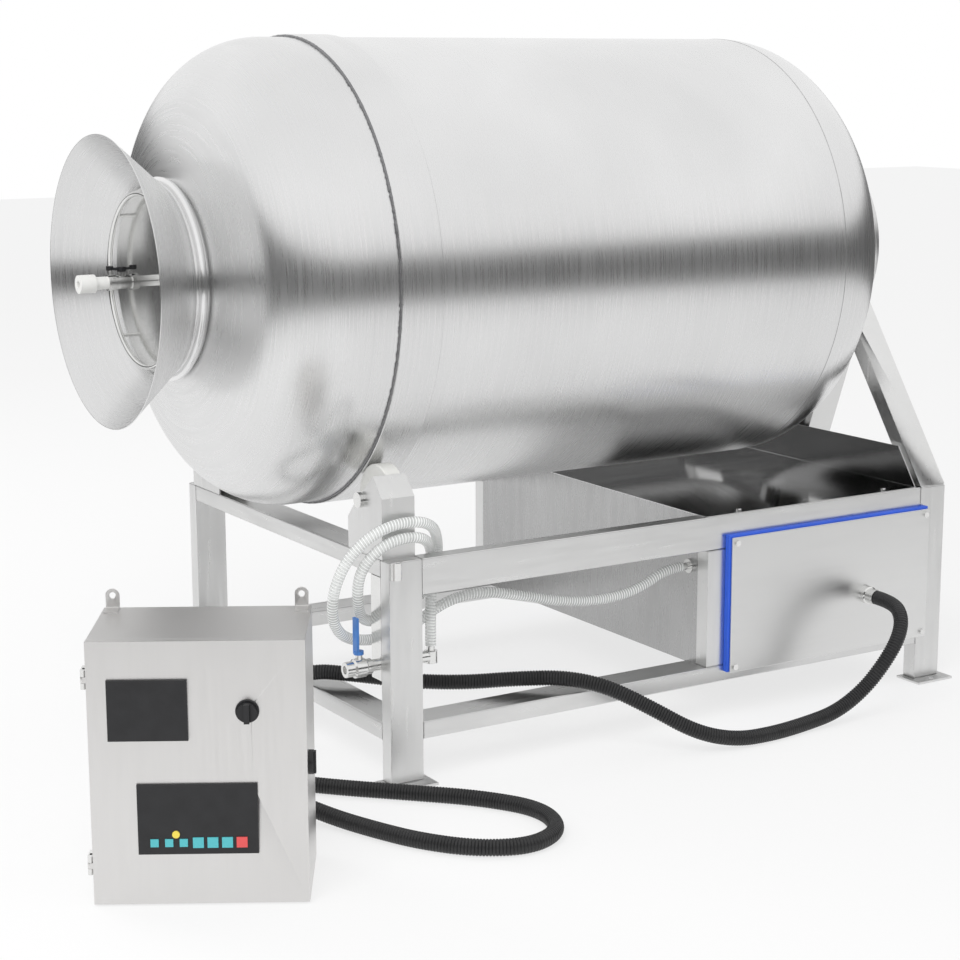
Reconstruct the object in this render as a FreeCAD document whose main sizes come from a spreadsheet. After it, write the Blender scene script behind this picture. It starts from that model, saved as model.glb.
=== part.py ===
import FreeCAD, Part
import Sketcher
import math
import os
import re

# Meat vacuum tumbler: a steel drum that turns on two front rollers and a rear
# bearing, driven by a chain from a gearmotor in the base housing, with a loose
# control cabinet beside it. Origin: middle of the four feet, on the floor.
# +Z is up, the drum's mouth faces -Y, and the control side is +X.

V = FreeCAD.Vector
doc = FreeCAD.newDocument("VacuumTumbler")
sheet = doc.addObject("Spreadsheet::Sheet", "dims")

SIZES = [
    # frame
    ("FrameWidth", 1040, "across the outer faces of the legs"),
    ("FrameLength", 1595, "front face to rear face"),
    ("FrameHeight", 500, "floor to the top of the frame"),
    ("TubeDepth", 80, "long side of the tube section"),
    ("TubeWidth", 40, "short side of the tube section"),
    ("TubeWall", 3, "wall of every frame tube"),
    ("FootOuter", 36, "foot plate beyond the leg's outer face"),
    ("FootInner", 5, "foot plate beyond the leg's inner face"),
    ("FootMargin", 17, "foot plate beyond the leg, along Y"),
    ("FootThickness", 6, "foot plate"),
    ("AnchorRadius", 7, "anchor hole in a foot plate"),
    ("AnchorInset", 20, "anchor hole beyond the leg's outer face"),
    ("LowerRailBase", 97, "floor to the underside of the lower rails"),
    # base housing
    ("HousingFront", 53, "front wall of the housing, along Y"),
    ("SheetThickness", 2, "covers and housing sheet"),
    ("UpstandHeight", 96, "rear edge of the roof, turned up"),
    ("UpstandGap", 18, "upstand in front of the rear legs"),
    ("PanelInset", 56, "front edge of a side panel behind the housing's front wall"),
    ("PanelRear", 66.5, "side panel's rear edge in front of the frame's rear face"),
    ("PanelHeight", 328, "side panel"),
    ("PanelBase", 120, "floor to the panel's lower edge"),
    ("PanelEdge", 5, "folded edge of the panel"),
    ("GasketDepth", 15, "how far the gasket stands out from the frame"),
    ("GasketWidth", 14, "face width of the gasket"),
    ("GasketLip", 6, "gasket beyond the panel's front and top edges"),
    ("GasketInset", 2, "gasket inside the panel's rear and bottom edges"),
    ("RearPanelLap", 20, "rear panel over the rails"),
    ("PortHoleRadius", 9, "hole for the hose port"),
    ("ScrewHeadRadius", 7, "cover screws"),
    ("ScrewHeadHeight", 5, "cover screws"),
    ("ScrewInset", 14, "cover screw from the panel's edge"),
    # rear stand and chain housing
    ("StandSlope", 0.6875, "sideways lean of a stand leg for each mm of height"),
    ("HousingRadius", 250, "round end of the chain housing"),
    ("HousingSlope", 0.3666, "sideways taper of the chain housing"),
    ("HousingSplit", 1026, "floor to the joint of the chain housing's cap"),
    ("HousingWall", 3, "chain housing sheet"),
    ("HousingLip", 20, "front lip of the chain housing"),
    ("BearingPlate", 12, "back of the chain housing, which carries the bearing"),
    # drum
    ("DrumAxisHeight", 1072, "floor to the drum's axis"),
    ("DrumRadius", 525, "outside of the shell"),
    ("DrumWall", 4, "shell and heads"),
    ("WeldSetback", 33.5, "joint of shell and front head, behind the frame's front face"),
    ("HubGap", 16.8, "shaft's flange in front of the chain housing"),
    ("HubSeat", 8, "shaft's flange in front of the rear head"),
    ("KnuckleRadius", 200, "outer knuckle of a head"),
    ("CrownRadius", 1250, "outer crown of a head"),
    ("FrontFlange", 60, "straight flange of the front head"),
    ("BandWidth", 100, "running band"),
    ("BandThickness", 6, "running band"),
    ("NeckRadius", 213, "outside of the neck"),
    ("NeckWall", 4, "neck tube"),
    ("NeckReach", 321, "front edge of the neck in front of the shell's joint"),
    ("NeckBeadRadius", 225, "bead round the neck"),
    ("NeckBeadWidth", 20, "bead round the neck"),
    ("SeatRadius", 188, "opening through the lid seat"),
    ("SeatThickness", 5, "lid seat"),
    ("RimRadius", 320, "rim of the funnel"),
    ("FunnelDepth", 127, "funnel along Y"),
    ("FunnelWall", 3, "funnel"),
    ("BaffleHeight", 90, "mixing baffles inside the shell"),
    ("BaffleThickness", 5, "mixing baffles"),
    ("BaffleInset", 104.5, "mixing baffle from the shell's end"),
    ("BaffleCount", 3, "mixing baffles"),
    ("HubRadius", 110, "flange of the rear shaft"),
    ("HubThickness", 25, "flange of the rear shaft"),
    ("ShaftRadius", 40, "rear shaft"),
    ("ShaftBeyond", 54.5, "end of the rear shaft behind the frame"),
    ("ShaftClearance", 0.05, "running clearance of shafts and pins"),
    # lid
    ("SealThickness", 6, "lid seal"),
    ("SealWidth", 12, "lid seal"),
    ("LidRadius", 206, "lid plate"),
    ("LidThickness", 4, "lid plate"),
    ("LidRingRadius", 190, "middle of the lid's grab ring"),
    ("LidRingTube", 6, "radius of the grab ring's rod"),
    ("LidRingStandoff", 24, "grab ring in front of the lid plate"),
    ("LidPostRadius", 4, "posts of the grab ring"),
    ("ValveLength", 106, "lid valve in front of the lid plate"),
    ("ValveRadius", 15, "lid valve's body"),
    ("ConnectorLength", 66, "white hose connector"),
    ("ConnectorRadius", 20, "cap of the hose connector"),
    ("WingLength", 62, "handle of the lid valve"),
    # front rollers
    ("RollerRadius", 74, "support rollers"),
    ("RollerWidth", 38, "support rollers"),
    ("RollerAngle", 41.1, "degrees from straight down to a roller, at the drum's axis"),
    ("RollerGap", 0.3, "roller to running band"),
    ("RollerInset", 3, "front face of a roller behind the running band's edge"),
    ("AxleRadius", 12, "roller axles"),
    ("BracketPlate", 4, "roller bracket plates"),
    ("BracketInset", 30, "outer face of a roller bracket inside the frame's side"),
    ("BracketInner", 337, "inner end of a roller bracket, from the middle"),
    ("BracketPeak", 676, "top corner of a roller bracket, above the floor"),
    # chain drive
    ("ChainPitch", 19.05, "roller chain"),
    ("ChainLinks", 96, "links of the chain"),
    ("DrumTeeth", 48, "teeth of the drum's sprocket"),
    ("DriveTeeth", 12, "teeth of the drive sprocket"),
    ("ChainRollerRadius", 6, "rollers of the chain"),
    ("ChainInset", 55.5, "middle of the chain in front of the frame's rear face"),
    ("SprocketWidth", 11, "sprockets"),
    ("ChainPlateGap", 0.6, "sprocket to chain plate"),
    ("ChainPlate", 2, "thickness of a chain plate"),
    ("DriveShaftRadius", 14, "output shaft of the gearbox"),
    # gearmotor and vacuum pump
    ("GearboxWidth", 170, "gearbox along X"),
    ("GearboxDepth", 130, "gearbox along Y"),
    ("GearboxGap", 30, "gearbox in front of the chain"),
    ("MotorRadius", 78, "motor"),
    ("MotorLength", 260, "motor"),
    ("MotorDrop", 85, "motor's axis below the output shaft"),
    ("PumpX", 250, "vacuum pump's middle, along X"),
    ("PumpY", 330, "vacuum pump's middle, along Y"),
    ("PumpLength", 300, "vacuum pump along Y"),
    ("PumpWidth", 180, "vacuum pump along X"),
    ("PumpHeight", 200, "vacuum pump"),
    # hose side
    ("ValveInset", 61, "ball valve's axis inside the frame's side"),
    ("ValvePipe", 135, "ball valve's elbow behind the frame's front face"),
    ("ValveHeight", 262, "ball valve's axis above the floor"),
    ("PipeRadius", 13, "pipe of the ball valve"),
    ("StripWidth", 43, "strip that carries the ball valve"),
    ("LeverLength", 80, "ball valve's lever"),
    ("HoseRadius", 12, "clear hose"),
    ("HosePortInset", 67, "hose port inside the frame's side"),
    ("HosePortHeight", 372, "hose port above the floor"),
    ("ClipWidth", 28, "hose clip on the front leg"),
    ("ClipHeight", 38, "hose clip"),
    # conduit
    ("ConduitRadius", 17.5, "corrugated conduit"),
    ("GlandY", 528, "conduit gland on the side panel, along Y"),
    ("GlandHeight", 256, "conduit gland above the floor"),
    ("GlandLength", 40, "conduit gland"),
    ("GlandRadius", 22, "conduit gland"),
    # control cabinet
    ("CabinetX", 793, "front left corner of the cabinet, along X"),
    ("CabinetY", -1583.5, "front left corner of the cabinet, along Y"),
    ("CabinetTurn", 60, "degrees from +X to the cabinet's width"),
    ("CabinetWidth", 400, "cabinet"),
    ("CabinetDepth", 250, "cabinet with its door"),
    ("CabinetHeight", 509, "cabinet"),
    ("CabinetWall", 2, "cabinet sheet"),
    ("DoorDepth", 18, "cabinet door"),
    ("DoorGap", 0.3, "door to cabinet"),
    ("DoorLift", 4, "door above the floor"),
    ("HingeOffset", 6, "hinge pin beside the door"),
    ("HingeInset", 10, "hinge pin behind the door's face"),
    ("HingePinRadius", 3, "hinge pin"),
    ("HingeBarrelRadius", 5, "hinge barrel"),
    ("HingeBarrel", 12, "length of one hinge barrel"),
    ("UpperHinge", 418, "upper hinge above the floor"),
    ("LowerHinge", 60, "lower hinge above the floor"),
    ("ScreenLeft", 37, "operator panel from the cabinet's left edge"),
    ("ScreenBase", 322, "operator panel above the floor"),
    ("ScreenWidth", 147, "operator panel"),
    ("ScreenHeight", 115, "operator panel"),
    ("ScreenProud", 6, "operator panel in front of the door"),
    ("PadLeft", 86, "keypad from the cabinet's left edge"),
    ("PadBase", 103, "keypad above the floor"),
    ("PadWidth", 222, "keypad"),
    ("PadHeight", 135, "keypad"),
    ("PadProud", 5, "keypad in front of the door"),
    ("ModuleInset", 8, "panel module's cut-out inside its edge"),
    ("ModuleDepth", 14, "panel module behind the door's face"),
    ("ModuleGap", 0.4, "module to cut-out"),
    ("KeySmall", 15, "side of a small key"),
    ("KeyLarge", 20, "side of a large key"),
    ("KeyFirst", 116.2, "first key's middle from the cabinet's left edge"),
    ("KeyPitch", 26.85, "from key to key"),
    ("KeyRow", 125.4, "row of keys above the floor"),
    ("RoundKeyLeft", 156, "round key from the cabinet's left edge"),
    ("RoundKeyBase", 141.6, "round key above the floor"),
    ("RoundKeyRadius", 7, "round key"),
    ("KeyProud", 2, "key in front of the keypad"),
    ("KeyTravel", 1.2, "key travel"),
    ("KeyGap", 0.4, "key to its pocket"),
    ("KeyBody", 5, "key from its face to its back"),
    ("KnobLeft", 292.5, "speed knob from the cabinet's left edge"),
    ("KnobBase", 376, "speed knob above the floor"),
    ("KnobRadius", 18, "speed knob"),
    ("KnobDepth", 20, "speed knob"),
    ("KnobRingRadius", 22, "ring behind the speed knob"),
    ("KnobRingDepth", 4, "ring behind the speed knob"),
    ("KnobStemRadius", 4, "stem of the speed knob"),
    ("KnobNeckRadius", 7.5, "threaded neck behind the speed knob"),
    ("SwitchInset", 45, "main switch behind the cabinet's face"),
    ("SwitchHeight", 262, "main switch above the floor"),
    ("SwitchRadius", 23, "main switch"),
    ("SwitchDepth", 14, "main switch"),
    ("LugHeight", 40, "lifting lugs"),
    ("LugWidth", 27, "lifting lugs"),
    ("LugPlate", 3, "thickness of a lifting lug"),
    ("LugInset", 5, "lifting lug from the cabinet's side"),
    ("LugSetback", 12, "lifting lug from the cabinet's back"),
    ("LugFoot", 36, "foot of a lifting lug"),
    ("OutletHeight", 120, "cabinet's conduit gland above the floor"),
]
TIED = [
    ("PanelLength", "=FrameLength / 2 - HousingFront - PanelInset - PanelRear", "side panel along Y"),
    ("WeldLine", "=-FrameLength / 2 + WeldSetback", "joint of shell and front head, along Y"),
    ("NeckFront", "=WeldLine - NeckReach", "front edge of the neck, along Y"),
    ("RollerFront", "=WeldLine + RollerInset", "front face of a roller, along Y"),
    ("ShaftEnd", "=FrameLength / 2 + ShaftBeyond", "end of the rear shaft, along Y"),
    ("BracketSide", "=FrameWidth / 2 - BracketInset", "outer face of a roller bracket, along X"),
    ("ChainPlane", "=FrameLength / 2 - ChainInset", "middle of the chain, along Y"),
    ("ValveX", "=FrameWidth / 2 - ValveInset", "ball valve's axis, along X"),
    ("HosePortX", "=FrameWidth / 2 - HosePortInset", "hose port on the housing, along X"),
]
for row, (alias, number, note) in enumerate(SIZES + TIED, start=1):
    sheet.set("A%d" % row, alias)
    sheet.set("B%d" % row, str(number))
    sheet.set("C%d" % row, note)
    sheet.setAlias("B%d" % row, alias)
doc.recompute()
NAMES = {alias for alias, number, note in SIZES + TIED}


def size(alias):
    """A driving dimension, for shapes that are made from Part's own functions."""
    return float(sheet.get(alias))


def formula(text):
    """Point the aliases in a formula at the sheet."""
    return re.sub(r"[A-Z][A-Za-z]+", lambda found: "dims." + found.group()
                  if found.group() in NAMES else found.group(), str(text))


def bind(item, **formulas):
    for name, text in formulas.items():
        item.setExpression(name.replace("__", "."), formula(text))


def at(item, x, y, z):
    bind(item, Placement__Base__x=x, Placement__Base__y=y, Placement__Base__z=z)
    return item


AXES = {
    "+X": FreeCAD.Rotation(V(0, 1, 0), 90),
    "-X": FreeCAD.Rotation(V(0, 1, 0), -90),
    "+Y": FreeCAD.Rotation(V(1, 0, 0), -90),
    "-Y": FreeCAD.Rotation(V(1, 0, 0), 90),
    "+Z": FreeCAD.Rotation(),
}


def box(x, y, z, length, width, height):
    item = doc.addObject("Part::Box", "Block")
    bind(item, Length=length, Width=width, Height=height)
    return at(item, x, y, z)


def rod(x, y, z, radius, length, axis="+Z"):
    item = doc.addObject("Part::Cylinder", "Rod")
    item.Placement.Rotation = AXES[axis]
    bind(item, Radius=radius, Height=length)
    return at(item, x, y, z)


def cut(base, *tools):
    for tool in tools:
        result = doc.addObject("Part::Cut", "Cut")
        result.Base = base
        result.Tool = tool
        base = result
    return base


def fuse(*items):
    result = doc.addObject("Part::MultiFuse", "Fusion")
    result.Shapes = list(items)
    return result


def group(*items):
    result = doc.addObject("Part::Compound", "Group")
    result.Links = list(items)
    return result


def mirrored(item):
    """The same piece on the other side of the machine."""
    result = doc.addObject("Part::Mirroring", "Mirror")
    result.Source = item
    result.Normal = V(1, 0, 0)
    return result


RING = 100.0


def outline(points, owner=None):
    """A closed sketch whose corners are bound to formulas. They start on a ring, in order."""
    if owner is None:
        sketch = doc.addObject("Sketcher::SketchObject", "Outline")
    else:
        sketch = owner.newObject("Sketcher::SketchObject", "Profile")
        plane = [item for item in owner.Origin.OriginFeatures if item.Role == "XY_Plane"][0]
        sketch.AttachmentSupport = (plane, [""])
        sketch.MapMode = "FlatFace"
    count = len(points)
    for i in range(count):
        turn, after = 2 * math.pi * i / count, 2 * math.pi * (i + 1) / count
        middle = V(2 * RING, 2 * RING, 0)
        start = middle + V(RING * math.cos(turn), RING * math.sin(turn), 0)
        end = middle + V(RING * math.cos(after), RING * math.sin(after), 0)
        sketch.addGeometry(Part.LineSegment(start, end), False)
    for i in range(count):
        sketch.addConstraint(Sketcher.Constraint("Coincident", i, 2, (i + 1) % count, 1))
    for i, (along, across) in enumerate(points):
        for kind, axis, text in (("DistanceX", -2, along), ("DistanceY", -1, across)):
            if str(text) == "0":
                sketch.addConstraint(Sketcher.Constraint("PointOnObject", i, 1, axis))
                continue
            index = sketch.addConstraint(Sketcher.Constraint(kind, -1, 1, i, 1, RING + i))
            sketch.setExpression("Constraints[%d]" % index, formula(text))
    return sketch


def turned(points, x, y, z, axis="-Y"):
    """A PartDesign body turned about its own X axis: points are (along, radius)."""
    body = doc.addObject("PartDesign::Body", "Turned")
    sketch = outline(points, body)
    feature = body.newObject("PartDesign::Revolution", "Revolution")
    feature.Profile = sketch
    feature.ReferenceAxis = (sketch, ["H_Axis"])
    feature.Angle = 360
    body.Tip = feature
    turns = {"-Y": FreeCAD.Rotation(V(0, 0, 1), -90), "+Y": FreeCAD.Rotation(V(0, 0, 1), 90),
             "+X": FreeCAD.Rotation(), "-X": FreeCAD.Rotation(V(0, 0, 1), 180),
             "+Z": FreeCAD.Rotation(V(0, 1, 0), -90)}
    body.Placement.Rotation = turns[axis]
    return at(body, x, y, z)


def plate(points, y, depth):
    """A plate whose outline stands in the X-Z plane and runs back along +Y from y."""
    sketch = outline(points)
    sketch.Placement.Rotation = FreeCAD.Rotation(V(1, 0, 0), 90)
    item = doc.addObject("Part::Extrusion", "Plate")
    item.Base = sketch
    item.DirMode = "Custom"
    item.Dir = V(0, 1, 0)
    item.Solid = True
    bind(item, LengthFwd=depth)
    at(sketch, 0, y, 0)
    return item


def solid(shape):
    """A piece made with Part's own functions."""
    item = doc.addObject("Part::Feature", "Piece")
    item.Shape = shape
    return item


nodes = []


def node(label, item):
    item.Label = label
    nodes.append(item)
    return item


# ---------------------------------------------------------------- frame
LEG_X = "FrameWidth / 2 - TubeWidth"
FRONT = "-FrameLength / 2"
REAR = "FrameLength / 2"
SPAN = "(FrameWidth - 2 * TubeWidth)"
BEHIND_FRONT_LEG = "(-FrameLength / 2 + TubeDepth)"
RAIL_LENGTH = "(FrameLength - 2 * TubeDepth)"
LOWER_TOP = "(LowerRailBase + TubeWidth)"


def tube(x, y, z, length, width, height, run):
    """A hollow rectangular tube, open at both ends of its run."""
    outer = box(x, y, z, length, width, height)
    inset = {axis: "TubeWall" for axis in "XYZ"}
    less = {axis: " - 2 * TubeWall" for axis in "XYZ"}
    inset[run], less[run] = "0", ""
    inner = box("%s + %s" % (x, inset["X"]), "%s + %s" % (y, inset["Y"]), "%s + %s" % (z, inset["Z"]),
                length + less["X"], width + less["Y"], height + less["Z"])
    return cut(outer, inner)


def frame_posts():
    height = "FrameHeight - FootThickness"
    posts = []
    for y in (FRONT, "FrameLength / 2 - TubeDepth"):
        leg = tube(LEG_X, y, "FootThickness", "TubeWidth", "TubeDepth", height, "Z")
        cap = box(LEG_X, y, "FrameHeight - TubeWall", "TubeWidth", "TubeDepth", "TubeWall")
        leg = fuse(leg, cap)
        posts += [leg, mirrored(leg)]
    middle = tube(LEG_X, "HousingFront", LOWER_TOP, "TubeWidth", "TubeDepth",
                  "FrameHeight - TubeDepth - LowerRailBase - TubeWidth", "Z")
    posts += [middle, mirrored(middle)]
    node("frame_posts", group(*posts))


def foot_plates():
    feet = []
    for middle_y in ("-FrameLength / 2 + TubeDepth / 2", "FrameLength / 2 - TubeDepth / 2"):
        plate_block = box(LEG_X + " - FootInner", middle_y + " - TubeDepth / 2 - FootMargin", "0",
                          "TubeWidth + FootInner + FootOuter", "TubeDepth + 2 * FootMargin",
                          "FootThickness")
        hole = rod("FrameWidth / 2 + AnchorInset", middle_y, "-1", "AnchorRadius", "FootThickness + 2")
        foot = cut(plate_block, hole)
        feet += [foot, mirrored(foot)]
    node("foot_plates", group(*feet))


def side_rails():
    upper = tube(LEG_X, BEHIND_FRONT_LEG, "FrameHeight - TubeDepth",
                 "TubeWidth", RAIL_LENGTH, "TubeDepth", "Y")
    lower = tube("FrameWidth / 2 - TubeDepth", BEHIND_FRONT_LEG, "LowerRailBase",
                 "TubeDepth", RAIL_LENGTH, "TubeWidth", "Y")
    node("side_rails", group(upper, mirrored(upper), lower, mirrored(lower)))


def cross_rails():
    start = "-FrameWidth / 2 + TubeWidth"
    upper_front = tube(start, FRONT, "FrameHeight - TubeWidth", SPAN, "TubeDepth", "TubeWidth", "X")
    lower_front = tube(start, FRONT, "LowerRailBase", SPAN, "TubeDepth", "TubeWidth", "X")
    rear_y = "FrameLength / 2 - TubeWidth"
    upper_rear = tube(start, rear_y, "FrameHeight - TubeDepth", SPAN, "TubeWidth", "TubeDepth", "X")
    lower_rear = tube(start, rear_y, "LowerRailBase", SPAN, "TubeWidth", "TubeWidth", "X")
    node("cross_rails", group(upper_front, lower_front, upper_rear, lower_rear))


# ------------------------------------------------------- base housing
UPSTAND_Y = "(FrameLength / 2 - TubeDepth - UpstandGap)"


def housing_sheets():
    front = box("-FrameWidth / 2 + TubeWidth", "HousingFront", LOWER_TOP,
                SPAN, "SheetThickness", "FrameHeight - LowerRailBase - TubeWidth")
    port_hole = rod("HosePortX", "HousingFront - 1", "HosePortHeight", "PortHoleRadius",
                    "SheetThickness + 2", "+Y")
    node("housing_front_wall", cut(front, port_hole))

    roof = box("-FrameWidth / 2 + 2", "HousingFront - 6", "FrameHeight",
               "FrameWidth - 4", UPSTAND_Y + " - HousingFront + 6", "SheetThickness")
    half = "FrameWidth / 2 - 2"
    lean = "FrameWidth / 2 - 2 - StandSlope * UpstandHeight"
    upstand = plate([("-(%s)" % half, "FrameHeight"), (half, "FrameHeight"),
                     (lean, "FrameHeight + UpstandHeight"), ("-(%s)" % lean, "FrameHeight + UpstandHeight")],
                    UPSTAND_Y, "SheetThickness")
    node("housing_roof", fuse(roof, upstand))

    node("housing_floor", box("-FrameWidth / 2 + TubeDepth", "HousingFront",
                              LOWER_TOP + " - SheetThickness", "FrameWidth - 2 * TubeDepth",
                              "FrameLength / 2 - TubeWidth - HousingFront", "SheetThickness"))


PANEL_Y = "(HousingFront + PanelInset)"
PANEL_X = "(FrameWidth / 2 + GasketDepth)"


def cover_panels():
    outer = box("FrameWidth / 2 + GasketDepth", PANEL_Y, "PanelBase",
                "PanelEdge", "PanelLength", "PanelHeight")
    hollow = box("FrameWidth / 2 + GasketDepth", PANEL_Y + " + GasketWidth + GasketLip",
                 "PanelBase + GasketWidth + GasketLip", "PanelEdge - SheetThickness",
                 "PanelLength - 2 * (GasketWidth + GasketLip)",
                 "PanelHeight - 2 * (GasketWidth + GasketLip)")
    blank = cut(outer, hollow)
    gland_hole = rod("FrameWidth / 2", "GlandY", "GlandHeight", "ConduitRadius - 2",
                     "GasketDepth + PanelEdge + 1", "+X")
    rear = box("-FrameWidth / 2 + TubeWidth + 5", REAR, LOWER_TOP + " - RearPanelLap",
               SPAN + " - 10", "SheetThickness",
               "FrameHeight - TubeDepth - LowerRailBase - TubeWidth + 2 * RearPanelLap")
    node("cover_panels", group(cut(blank, gland_hole), mirrored(blank), rear))

    length = "PanelLength + GasketLip - GasketInset"
    height = "PanelHeight + GasketLip - GasketInset"
    ring = cut(box("FrameWidth / 2", PANEL_Y + " - GasketLip", "PanelBase + GasketInset",
                   "GasketDepth", length, height),
               box("FrameWidth / 2 - 1", PANEL_Y + " - GasketLip + GasketWidth",
                   "PanelBase + GasketInset + GasketWidth", "GasketDepth + 2",
                   length + " - 2 * GasketWidth", height + " - 2 * GasketWidth"))
    node("panel_gaskets", group(ring, mirrored(ring)))


def cover_screws():
    screws = []
    for y in (PANEL_Y + " + ScrewInset", PANEL_Y + " + PanelLength - ScrewInset"):
        for z in ("PanelBase + ScrewInset", "PanelBase + PanelHeight - ScrewInset"):
            head = rod("FrameWidth / 2 + GasketDepth + PanelEdge", y, z,
                       "ScrewHeadRadius", "ScrewHeadHeight", "+X")
            screws += [head, mirrored(head)]
    for x in ("FrameWidth / 2 - TubeWidth - 20", "-FrameWidth / 2 + TubeWidth + 20"):
        for z in ("LowerRailBase + TubeWidth - RearPanelLap / 2",
                  "FrameHeight - TubeDepth + RearPanelLap / 2"):
            screws.append(rod(x, REAR + " + SheetThickness", z, "ScrewHeadRadius",
                              "ScrewHeadHeight", "+Y"))
    roof_length = "(%s - HousingFront)" % UPSTAND_Y
    for share in ("0.16", "0.86"):
        head = rod("FrameWidth / 2 - TubeWidth / 2", "HousingFront + %s * %s" % (share, roof_length),
                   "FrameHeight + SheetThickness", "ScrewHeadRadius", "ScrewHeadHeight")
        screws += [head, mirrored(head)]
    node("cover_screws", group(*screws))


# --------------------------------------- rear stand and chain housing
CHAIN_FRONT = "(FrameLength / 2 - TubeDepth)"
TAPER = "sqrt(1 + HousingSlope ^ 2)"


def housing_outline(inset, bottom):
    """Half widths of the tapered part of the chain housing, inset from its outside."""
    radius = "(HousingRadius - %s)" % inset
    low = "(%s * %s - HousingSlope * (DrumAxisHeight - %s))" % (radius, TAPER, bottom)
    high_x = "(%s / %s)" % (radius, TAPER)
    high_z = "(DrumAxisHeight - %s * HousingSlope / %s)" % (radius, TAPER)
    return [("-%s" % low, bottom), (low, bottom), (high_x, high_z), ("-%s" % high_x, high_z)]


def housing_form(inset, y, depth, bottom="FrameHeight"):
    taper = plate(housing_outline(inset, bottom), y, depth)
    round_end = rod("0", y, "DrumAxisHeight", "HousingRadius - %s" % inset, depth, "+Y")
    return fuse(taper, round_end)


def chain_housing():
    wall_depth = "TubeDepth - BearingPlate"
    shell = cut(housing_form("0", CHAIN_FRONT, wall_depth),
                housing_form("HousingWall", CHAIN_FRONT + " + HousingWall", wall_depth, "(FrameHeight - 1)"),
                housing_form("HousingLip", CHAIN_FRONT + " - 1", "HousingWall + 2", "(FrameHeight - 1)"))
    above = box("-HousingRadius - 1", CHAIN_FRONT + " - 1", "HousingSplit",
                "2 * HousingRadius + 2", "TubeDepth + 2", "2 * HousingRadius")
    back = housing_form("0", CHAIN_FRONT + " + TubeDepth - BearingPlate", "BearingPlate")
    shaft_hole = rod("0", CHAIN_FRONT, "DrumAxisHeight", "ShaftRadius + 20", "TubeDepth + 1", "+Y")
    node("chain_housing", cut(fuse(cut(shell, above), back), shaft_hole))
    cap = doc.addObject("Part::Common", "Cap")
    cap.Base = shell
    cap.Tool = above
    node("chain_housing_cap", cap)


def stand_legs():
    """Leaning legs from the frame's rear corners to the chain housing's sides."""
    width = "(TubeWidth * sqrt(1 + StandSlope ^ 2))"
    side = "(HousingRadius * %s - HousingSlope * (DrumAxisHeight - FrameHeight))" % TAPER
    outer_rise = "((FrameWidth / 2 - %s) / (StandSlope + HousingSlope))" % side
    inner_rise = "((FrameWidth / 2 - %s - %s) / (StandSlope + HousingSlope))" % (width, side)
    points = [("FrameWidth / 2", "FrameHeight"),
              ("FrameWidth / 2 - StandSlope * %s" % outer_rise, "FrameHeight + %s" % outer_rise),
              ("FrameWidth / 2 - %s - StandSlope * %s" % (width, inner_rise),
               "FrameHeight + %s" % inner_rise),
              ("FrameWidth / 2 - %s" % width, "FrameHeight")]
    leg = plate(points, CHAIN_FRONT, "TubeDepth")
    node("stand_legs", group(leg, mirrored(leg)))


def rear_bearing():
    back = REAR
    flange = box("-100", back, "DrumAxisHeight - 100", "200", "20", "200")
    barrel = rod("0", back, "DrumAxisHeight", "78", "46", "+Y")
    bore = rod("0", back + " - 1", "DrumAxisHeight", "ShaftRadius + ShaftClearance", "60", "+Y")
    bolts = [rod("%s * 76" % i, back + " + 20", "DrumAxisHeight + %s * 76" % j, "11", "12", "+Y")
             for i in (-1, 1) for j in (-1, 1)]
    node("rear_bearing", cut(fuse(flange, barrel, *bolts), bore))


# -------------------------------------------------------------- drum
def head_section(hole):
    """Section of a dished head, from its straight flange to a central hole.
    X runs out from the shell along the axis, Y is the radius."""
    wall, radius = size("DrumWall"), size("DrumRadius")
    knuckle, crown = size("KnuckleRadius"), size("CrownRadius")
    middle = radius - knuckle
    back = math.sqrt((crown - knuckle) ** 2 - middle ** 2)
    join = math.atan2(middle, back)
    edges = []

    def arc(centre_x, centre_y, r, start, end):
        points = [V(centre_x + r * math.cos(a), centre_y + r * math.sin(a), 0)
                  for a in (start, (start + end) / 2, end)]
        edges.append(Part.Arc(*points).toShape())
        return points[0], points[2]

    outer_hole = math.asin(hole / crown)
    inner_hole = math.asin(hole / (crown - wall))
    arc(0, middle, knuckle, math.pi / 2, join)
    outer_end = arc(-back, 0, crown, join, outer_hole)[1]
    inner_start, _ = arc(-back, 0, crown - wall, inner_hole, join)
    edges.append(Part.LineSegment(outer_end, inner_start).toShape())
    inner_end = arc(0, middle, knuckle - wall, join, math.pi / 2)[1]
    return edges, V(0, radius, 0), inner_end


def dished_head(y, flange, hole, facing):
    """A dished head with its straight flange meeting the shell at y."""
    edges, outer_start, inner_end = head_section(hole)
    outer_foot = V(-flange, outer_start.y, 0)
    inner_foot = V(-flange, inner_end.y, 0)
    edges += [Part.LineSegment(outer_foot, outer_start).toShape(),
              Part.LineSegment(inner_end, inner_foot).toShape(),
              Part.LineSegment(inner_foot, outer_foot).toShape()]
    section = Part.Face(Part.Wire(Part.__sortEdges__(edges)))
    head = section.revolve(V(0, 0, 0), V(1, 0, 0), 360)
    item = solid(head)
    item.Placement = FreeCAD.Placement(V(0, y + facing * flange, size("DrumAxisHeight")),
                                       FreeCAD.Rotation(V(0, 0, 1), 90 * facing))
    return item


def crown_depth(radius, wall=0.0):
    """How far the head stands out from its knuckle line at a radius."""
    knuckle, crown = size("KnuckleRadius"), size("CrownRadius")
    middle = size("DrumRadius") - knuckle
    back = math.sqrt((crown - knuckle) ** 2 - middle ** 2)
    return math.sqrt((crown - wall) ** 2 - radius ** 2) - back


REAR_FLANGE = 1.0


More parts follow.
